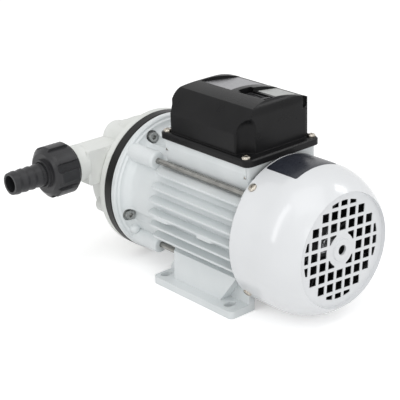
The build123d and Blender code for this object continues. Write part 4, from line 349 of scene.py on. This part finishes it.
def dress_frame(paints):
    coat_nodes(paints["cast"], "stator_housing", "front_flange", "rear_end_shield")
    coat_nodes(paints["sheet"], "fan_cover")
    coat_nodes(paints["head"], "pump_head", "valve_plate", "wobble_plate", "piston_discs")
    coat_nodes(paints["box"], "terminal_box_cover")
    coat_nodes(
        paints["fitting"], "outlet_union_nut", "inlet_union_nut", "outlet_hose_tail", "inlet_hose_tail",
        "cooling_fan", "cable_gland", "gland_nut", "switch_housing", "switch_rocker", "bypass_cap",
        "terminal_block",
    )
    coat_nodes(paints["ring"], "diaphragm_ring")
    coat_nodes(
        paints["rubber"], "diaphragm", "inlet_valves", "outlet_valves", "head_gasket", "hose_tail_seals",
        "box_gasket", "bypass_cap_seal",
    )
    coat_nodes(paints["grey"], "bypass_poppet")
    coat_nodes(paints["rod"], "tie_bolts")
    coat_nodes(paints["dark_screw"], "head_bolts", "hub_set_screw", "piston_screws")
    coat_nodes(paints["zinc"], "head_washers", "earth_screw", "capacitor_clip")
    coat_nodes(paints["screw"], "fan_cover_screws", "box_screws")
    coat_nodes(
        paints["steel"], "motor_shaft", "front_bearing_outer", "front_bearing_inner", "rear_bearing_outer",
        "rear_bearing_inner", "wobble_bearing_outer", "wobble_bearing_inner", "wobble_hub", "wave_washer",
        "fan_retaining_ring", "bypass_spring",
    )
    coat_nodes(paints["lamination"], "stator_core", "rotor_core")
    coat_nodes(paints["copper"], "stator_windings")
    coat_nodes(paints["capacitor"], "capacitor")


def make_paints():
    return {
        "cast": cast_paint(),
        "sheet": sheet_paint(),
        "head": head_plastic(),
        "box": box_plastic(),
        "fitting": fitting_plastic(),
        "ring": ring_plastic(),
        "rubber": rubber(),
        "grey": grey_plastic(),
        "rod": metal(
            "zinc_rod", srgb(138, 137, 134), srgb(158, 157, 153), 0.3, 1.5, (1, 0.01, 1), depth=0.003,
        ),
        "screw": metal("nickel_screw", srgb(168, 162, 152), srgb(190, 184, 174), 0.24),
        "dark_screw": metal("dark_screw", srgb(158, 159, 158), srgb(184, 185, 183), 0.3),
        "zinc": metal("zinc_plate", srgb(150, 152, 152), srgb(176, 178, 178), 0.32),
        "steel": metal("ground_steel", srgb(150, 152, 154), srgb(178, 180, 182), 0.22, 0.4, (1, 0.1, 1)),
        "lamination": metal(
            "lamination_steel", srgb(92, 94, 98), srgb(120, 122, 126), 0.45, 0.5, (0.1, 4, 0.1),
        ),
        "copper": enamelled_copper(),
        "capacitor": film("capacitor_shell", srgb(196, 198, 200), srgb(208, 210, 212), 0.4),
        "silver": film("silver_plate", srgb(148, 148, 151), srgb(156, 156, 159), 0.34, 0.9),
        "blank": film("grey_plate", srgb(172, 174, 172), srgb(184, 186, 184), 0.45),
        "dark_panel": film("dark_panel", srgb(34, 37, 46), srgb(42, 45, 54), 0.3),
    }


# Backdrop, lamps and camera

FLOOR_SIZE = 8.0
FLOOR_GREY = 0.86
FLOOR_LIFT = 0.42
WORLD_LIGHT = 0.6
WORLD_SEEN = 1.0
LAMPS = [
    # name, place (m), size (m), power (W), aimed at (m)
    ("overhead", (0.3, 0.5, 2.0), (1.6, 1.6), 7.5, (0.0, 0.0, 0.08)),
    ("strip", (1.31, -0.09, 1.0), (0.25, 1.6), 4.2, (0.0, 0.0, 0.08)),
    ("rear_window", (-1.16, 0.52, 1.35), (0.38, 0.44), 2.8, (0.0, 0.0, 0.08)),
    ("fan_side", (0.8, 1.9, 0.6), (1.3, 1.3), 8.0, (0.0, 0.0, 0.08)),
]


def seen_only(nodes, links, lighting, seen):
    """One strength for rays that light the object, another for camera, glossy and transmission rays."""
    path = nodes.new("ShaderNodeLightPath")
    first = nodes.new("ShaderNodeMath")
    first.operation = "MAXIMUM"
    links.new(path.outputs["Is Camera Ray"], first.inputs[0])
    links.new(path.outputs["Is Glossy Ray"], first.inputs[1])
    second = nodes.new("ShaderNodeMath")
    second.operation = "MAXIMUM"
    links.new(first.outputs[0], second.inputs[0])
    links.new(path.outputs["Is Transmission Ray"], second.inputs[1])
    mix = nodes.new("ShaderNodeMapRange")
    mix.inputs["To Min"].default_value = lighting
    mix.inputs["To Max"].default_value = seen
    links.new(second.outputs[0], mix.inputs["Value"])
    return mix.outputs["Result"]


def make_floor():
    mesh = bpy.data.meshes.new("floor")
    half = FLOOR_SIZE / 2
    corners = [(-half, -half, 0), (half, -half, 0), (half, half, 0), (-half, half, 0)]
    mesh.from_pydata(corners, [], [(0, 1, 2, 3)])
    floor = bpy.data.objects.new("floor", mesh)
    bpy.context.scene.collection.objects.link(floor)
    material = bpy.data.materials.new("floor_white")
    material.use_nodes = True
    nodes = material.node_tree.nodes
    links = material.node_tree.links
    shader = nodes["Principled BSDF"]
    shader.inputs["Base Color"].default_value = (FLOOR_GREY, FLOOR_GREY, FLOOR_GREY, 1)
    shader.inputs["Roughness"].default_value = 0.9
    shader.inputs["Specular IOR Level"].default_value = 0.0
    lift = seen_only(nodes, links, 0.0, FLOOR_LIFT)
    shader.inputs["Emission Color"].default_value = (1, 1, 1, 1)
    links.new(lift, shader.inputs["Emission Strength"])
    mesh.materials.append(material)


def make_world():
    world = bpy.data.worlds.new("studio")
    bpy.context.scene.world = world
    world.use_nodes = True
    nodes = world.node_tree.nodes
    links = world.node_tree.links
    background = nodes["Background"]
    background.inputs["Color"].default_value = (1, 1, 1, 1)
    links.new(seen_only(nodes, links, WORLD_LIGHT, WORLD_SEEN), background.inputs["Strength"])


def make_lamps():
    for name, place, size, power, aim in LAMPS:
        lamp = bpy.data.lights.new(name, "AREA")
        lamp.shape = "RECTANGLE"
        lamp.size, lamp.size_y = size
        lamp.energy = power
        holder = bpy.data.objects.new(name, lamp)
        bpy.context.scene.collection.objects.link(holder)
        holder.location = place
        away = Vector(place) - Vector(aim)
        holder.rotation_mode = "QUATERNION"
        holder.rotation_quaternion = away.to_track_quat("Z", "Y")


def make_camera():
    camera = bpy.data.cameras.new("camera")
    camera.lens = CAMERA_LENS
    camera.sensor_width = CAMERA_SENSOR
    camera.clip_start = 0.05
    camera.clip_end = 20.0
    holder = bpy.data.objects.new("camera", camera)
    bpy.context.scene.collection.objects.link(holder)
    azimuth = math.radians(CAMERA_AZIMUTH)
    elevation = math.radians(CAMERA_ELEVATION)
    roll = math.radians(CAMERA_ROLL)
    back = Vector((
        math.cos(azimuth) * math.cos(elevation), math.sin(azimuth) * math.cos(elevation), math.sin(elevation),
    ))
    level = Vector((-math.sin(azimuth), math.cos(azimuth), 0))
    above = back.cross(level)
    right = level * math.cos(roll) + above * math.sin(roll)
    up = above * math.cos(roll) - level * math.sin(roll)
    turn = Matrix((right, up, back)).transposed().to_4x4()
    holder.matrix_world = Matrix.Translation(Vector(CAMERA_PLACE) * MM) @ turn
    bpy.context.scene.camera = holder


def add_piece(name, mesh, material, slot):
    """Piece from a mesh in metres, riding on the body that does not move."""
    mesh.materials.clear()
    mesh.materials.append(material)
    piece = bpy.data.objects.new(name, mesh)
    bpy.context.scene.collection.objects.link(piece)
    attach(piece, "root")
    return piece


def cover_radius_at(y):
    """Radius of the fan cover's outside at a station along the shaft."""
    past = max(0.0, y - COVER_SHOULDER_Y)
    centre = COVER_RADIUS - COVER_SHOULDER_RADIUS
    return centre + math.sqrt(COVER_SHOULDER_RADIUS ** 2 - past ** 2)


def rounded_corner(u, v, half_u, half_v, corner):
    """Point of a grid, pulled in where it lies outside a rounded corner."""
    past_u = max(0.0, abs(u) - (half_u - corner))
    past_v = max(0.0, abs(v) - (half_v - corner))
    reach = math.hypot(past_u, past_v)
    if reach <= corner:
        return u, v
    pull = corner / reach
    return (
        math.copysign(half_u - corner + past_u * pull, u),
        math.copysign(half_v - corner + past_v * pull, v),
    )


def film_patch(name, half_u, half_v, corner, place, material, slot):
    """Thin blank film laid on a surface; place(u, v, lift) gives a point on it in millimetres."""
    across, along = FILM_STEPS
    vertices, faces = [], []
    for lift in (FILM_LIFT + FILM_THICKNESS, FILM_LIFT):
        for j in range(along + 1):
            for i in range(across + 1):
                u = half_u * (2 * i / across - 1)
                v = half_v * (2 * j / along - 1)
                u, v = rounded_corner(u, v, half_u, half_v, corner)
                vertices.append(place(u, v, lift))
    row = across + 1
    layer = row * (along + 1)
    for j in range(along):
        for i in range(across):
            a = j * row + i
            faces.append((a, a + 1, a + row + 1, a + row))
            faces.append((layer + a, layer + a + row, layer + a + row + 1, layer + a + 1))
    rim = list(range(across)) + [j * row + across for j in range(along)]
    rim += [along * row + i for i in range(across, 0, -1)] + [j * row for j in range(along, 0, -1)]
    for a, b in zip(rim, rim[1:] + rim[:1]):
        faces.append((a, a + layer, b + layer, b))
    mesh = bpy.data.meshes.new(name)
    mesh.from_pydata([Vector(vertex) * MM for vertex in vertices], [], faces)
    add_piece(name, mesh, material, slot)


def on_cover(u, v, lift):
    """Point over the top of the fan cover: u round it, v along the shaft."""
    y = COVER_PANEL_Y + v
    angle = math.radians(90.0) - u / COVER_RADIUS
    radius = cover_radius_at(y) + lift
    return radius * math.cos(angle), y, SHAFT_HEIGHT + radius * math.sin(angle)


def on_slope(centre_x, centre_y):
    """Points on the sloping recesses of the box's roof, about a centre."""
    def place(u, v, lift):
        x = centre_x + u
        return x, centre_y + v, BOX_SLOPE_TOP_Z - (BOX_SLOPE_TOP_X - x) * BOX_SLOPE_FALL + lift
    return place


def make_films(paints):
    """Bare plates: the places of the object's labels, with nothing on them."""
    front = on_slope(*FRONT_PLATE_MIDDLE)
    rear = on_slope(*REAR_PLATE_MIDDLE)
    film_patch("cover_blank_panel", *COVER_PANEL, on_cover, paints["dark_panel"], "black_plastic")
    film_patch("box_front_plate", *FRONT_PLATE, front, paints["silver"], "cast_aluminium")
    film_patch("box_rear_plate", *REAR_PLATE, rear, paints["blank"], "grey_plastic")


def pan_screw_mesh(head_radius, head_height, shank_radius, shank_length):
    """Pan-head screw before its recess is cut, pointing along +Z, seated at z = 0."""
    form = bmesh.new()
    profile = [
        (shank_radius, -shank_length), (shank_radius, 0.0),
        (head_radius, 0.0), (head_radius, head_height * PAN_RIM),
    ]
    for k in range(1, PAN_RINGS):
        turn = math.pi / 2 * k / PAN_RINGS
        height = head_height * (PAN_RIM + (1 - PAN_RIM) * math.sin(turn))
        profile.append((head_radius * math.cos(turn), height))
    around = [2 * math.pi * i / PAN_SEGMENTS for i in range(PAN_SEGMENTS)]
    rings = [
        [form.verts.new((radius * math.cos(turn), radius * math.sin(turn), z)) for turn in around]
        for radius, z in profile
    ]
    for low, high in zip(rings, rings[1:]):
        for i in range(PAN_SEGMENTS):
            k = (i + 1) % PAN_SEGMENTS
            form.faces.new((low[i], low[k], high[k], high[i]))
    form.faces.new(list(reversed(rings[0])))
    form.faces.new(rings[-1])
    mesh = bpy.data.meshes.new("pan_screw")
    form.to_mesh(mesh)
    form.free()
    return mesh


def cross_cutter(head_radius, head_height):
    """Tapered cross that cuts the recess of a screw head."""
    form = bmesh.new()
    half = CROSS_SLOT / 2
    reach = head_radius * CROSS_REACH
    top = head_height + CROSS_OVERRUN
    low = head_height * (1 - CROSS_DEPTH)
    outline = [
        (half, half), (half, reach), (-half, reach), (-half, half), (-reach, half), (-reach, -half),
        (-half, -half), (-half, -reach), (half, -reach), (half, -half), (reach, -half), (reach, half),
    ]

    def narrowed(value):
        return value * (CROSS_TAPER_REACH if abs(value) > half else CROSS_TAPER_SLOT)

    upper = [form.verts.new((x, y, top)) for x, y in outline]
    lower = [form.verts.new((narrowed(x), narrowed(y), low)) for x, y in outline]
    form.faces.new(list(reversed(upper)))
    form.faces.new(lower)
    for i in range(len(outline)):
        k = (i + 1) % len(outline)
        form.faces.new((upper[i], upper[k], lower[k], lower[i]))
    bmesh.ops.recalc_face_normals(form, faces=form.faces)
    mesh = bpy.data.meshes.new("cross_cutter")
    form.to_mesh(mesh)
    form.free()
    return mesh


def cut_mesh(mesh, cutter_mesh):
    """Mesh less the cutter's mesh."""
    body = bpy.data.objects.new("cut_body", mesh)
    cutter = bpy.data.objects.new("cut_tool", cutter_mesh)
    for thing in (body, cutter):
        bpy.context.scene.collection.objects.link(thing)
    step = body.modifiers.new("cut", "BOOLEAN")
    step.operation = "DIFFERENCE"
    step.solver = "EXACT"
    step.object = cutter
    bpy.context.view_layer.update()
    graph = bpy.context.evaluated_depsgraph_get()
    result = bpy.data.meshes.new_from_object(body.evaluated_get(graph), depsgraph=graph)
    for thing in (body, cutter):
        bpy.data.objects.remove(thing)
    return result


def make_screws(name, node, material, turns, sizes):
    """One piece of cross-recess screws that stands for a CAD node; turns are placements in millimetres."""
    head_radius, head_height = sizes[:2]
    single = cut_mesh(pan_screw_mesh(*sizes), cross_cutter(head_radius, head_height))
    form = bmesh.new()
    for turn in turns:
        copy = single.copy()
        copy.transform(turn)
        form.from_mesh(copy)
        bpy.data.meshes.remove(copy)
    mesh = bpy.data.meshes.new(name)
    form.to_mesh(mesh)
    form.free()
    mesh.transform(Matrix.Scale(MM, 4))
    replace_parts(add_piece(name, mesh, material, "nickel_screw"), node)


def make_fasteners(paints):
    """Screws of the terminal box and of the fan cover."""
    corners = [(1, 1), (-1, 1), (-1, -1), (1, -1)]
    upright = []
    for (side, end), own in zip(corners, SCREW_TURNS):
        seat = Matrix.Translation((side * BOX_SCREW_X, end * BOX_SCREW_Y, BOX_FLANGE_TOP))
        upright.append(seat @ Matrix.Rotation(math.radians(own), 4, "Z"))
    make_screws("box_screw_heads", "box_screws", paints["screw"], upright, BOX_SCREW_SIZES)
    station = Matrix.Translation((0.0, COVER_SCREW_Y, SHAFT_HEIGHT))
    seat = Matrix.Translation((COVER_RADIUS - COVER_SCREW_SINK, 0.0, 0.0))
    outwards = Matrix.Rotation(math.radians(90.0), 4, "Y")
    radial = []
    for angle, own in zip(COVER_SCREW_ANGLES, SCREW_TURNS):
        round_shaft = Matrix.Rotation(math.radians(-angle), 4, "Y")
        turn = Matrix.Rotation(math.radians(own + COVER_SCREW_TURN), 4, "Z")
        radial.append(station @ round_shaft @ seat @ outwards @ turn)
    make_screws("cover_screw_heads", "fan_cover_screws", paints["screw"], radial, COVER_SCREW_SIZES)


def make_spring(paints):
    """Spring of the bypass, which on the real pump shortens as the poppet lifts, as a piece with a mesh of
    its own in place of the CAD node.
    """
    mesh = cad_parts["bypass_spring"].data.copy()
    piece = add_piece("bypass_spring_coil", mesh, paints["steel"], "spring_steel")
    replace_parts(piece, "bypass_spring")
    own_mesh(piece)


paints = make_paints()
dress_frame(paints)
make_films(paints)
make_fasteners(paints)
make_spring(paints)
make_floor()
make_world()
make_lamps()
make_camera()
bpy.context.scene.view_settings.view_transform = "Standard"
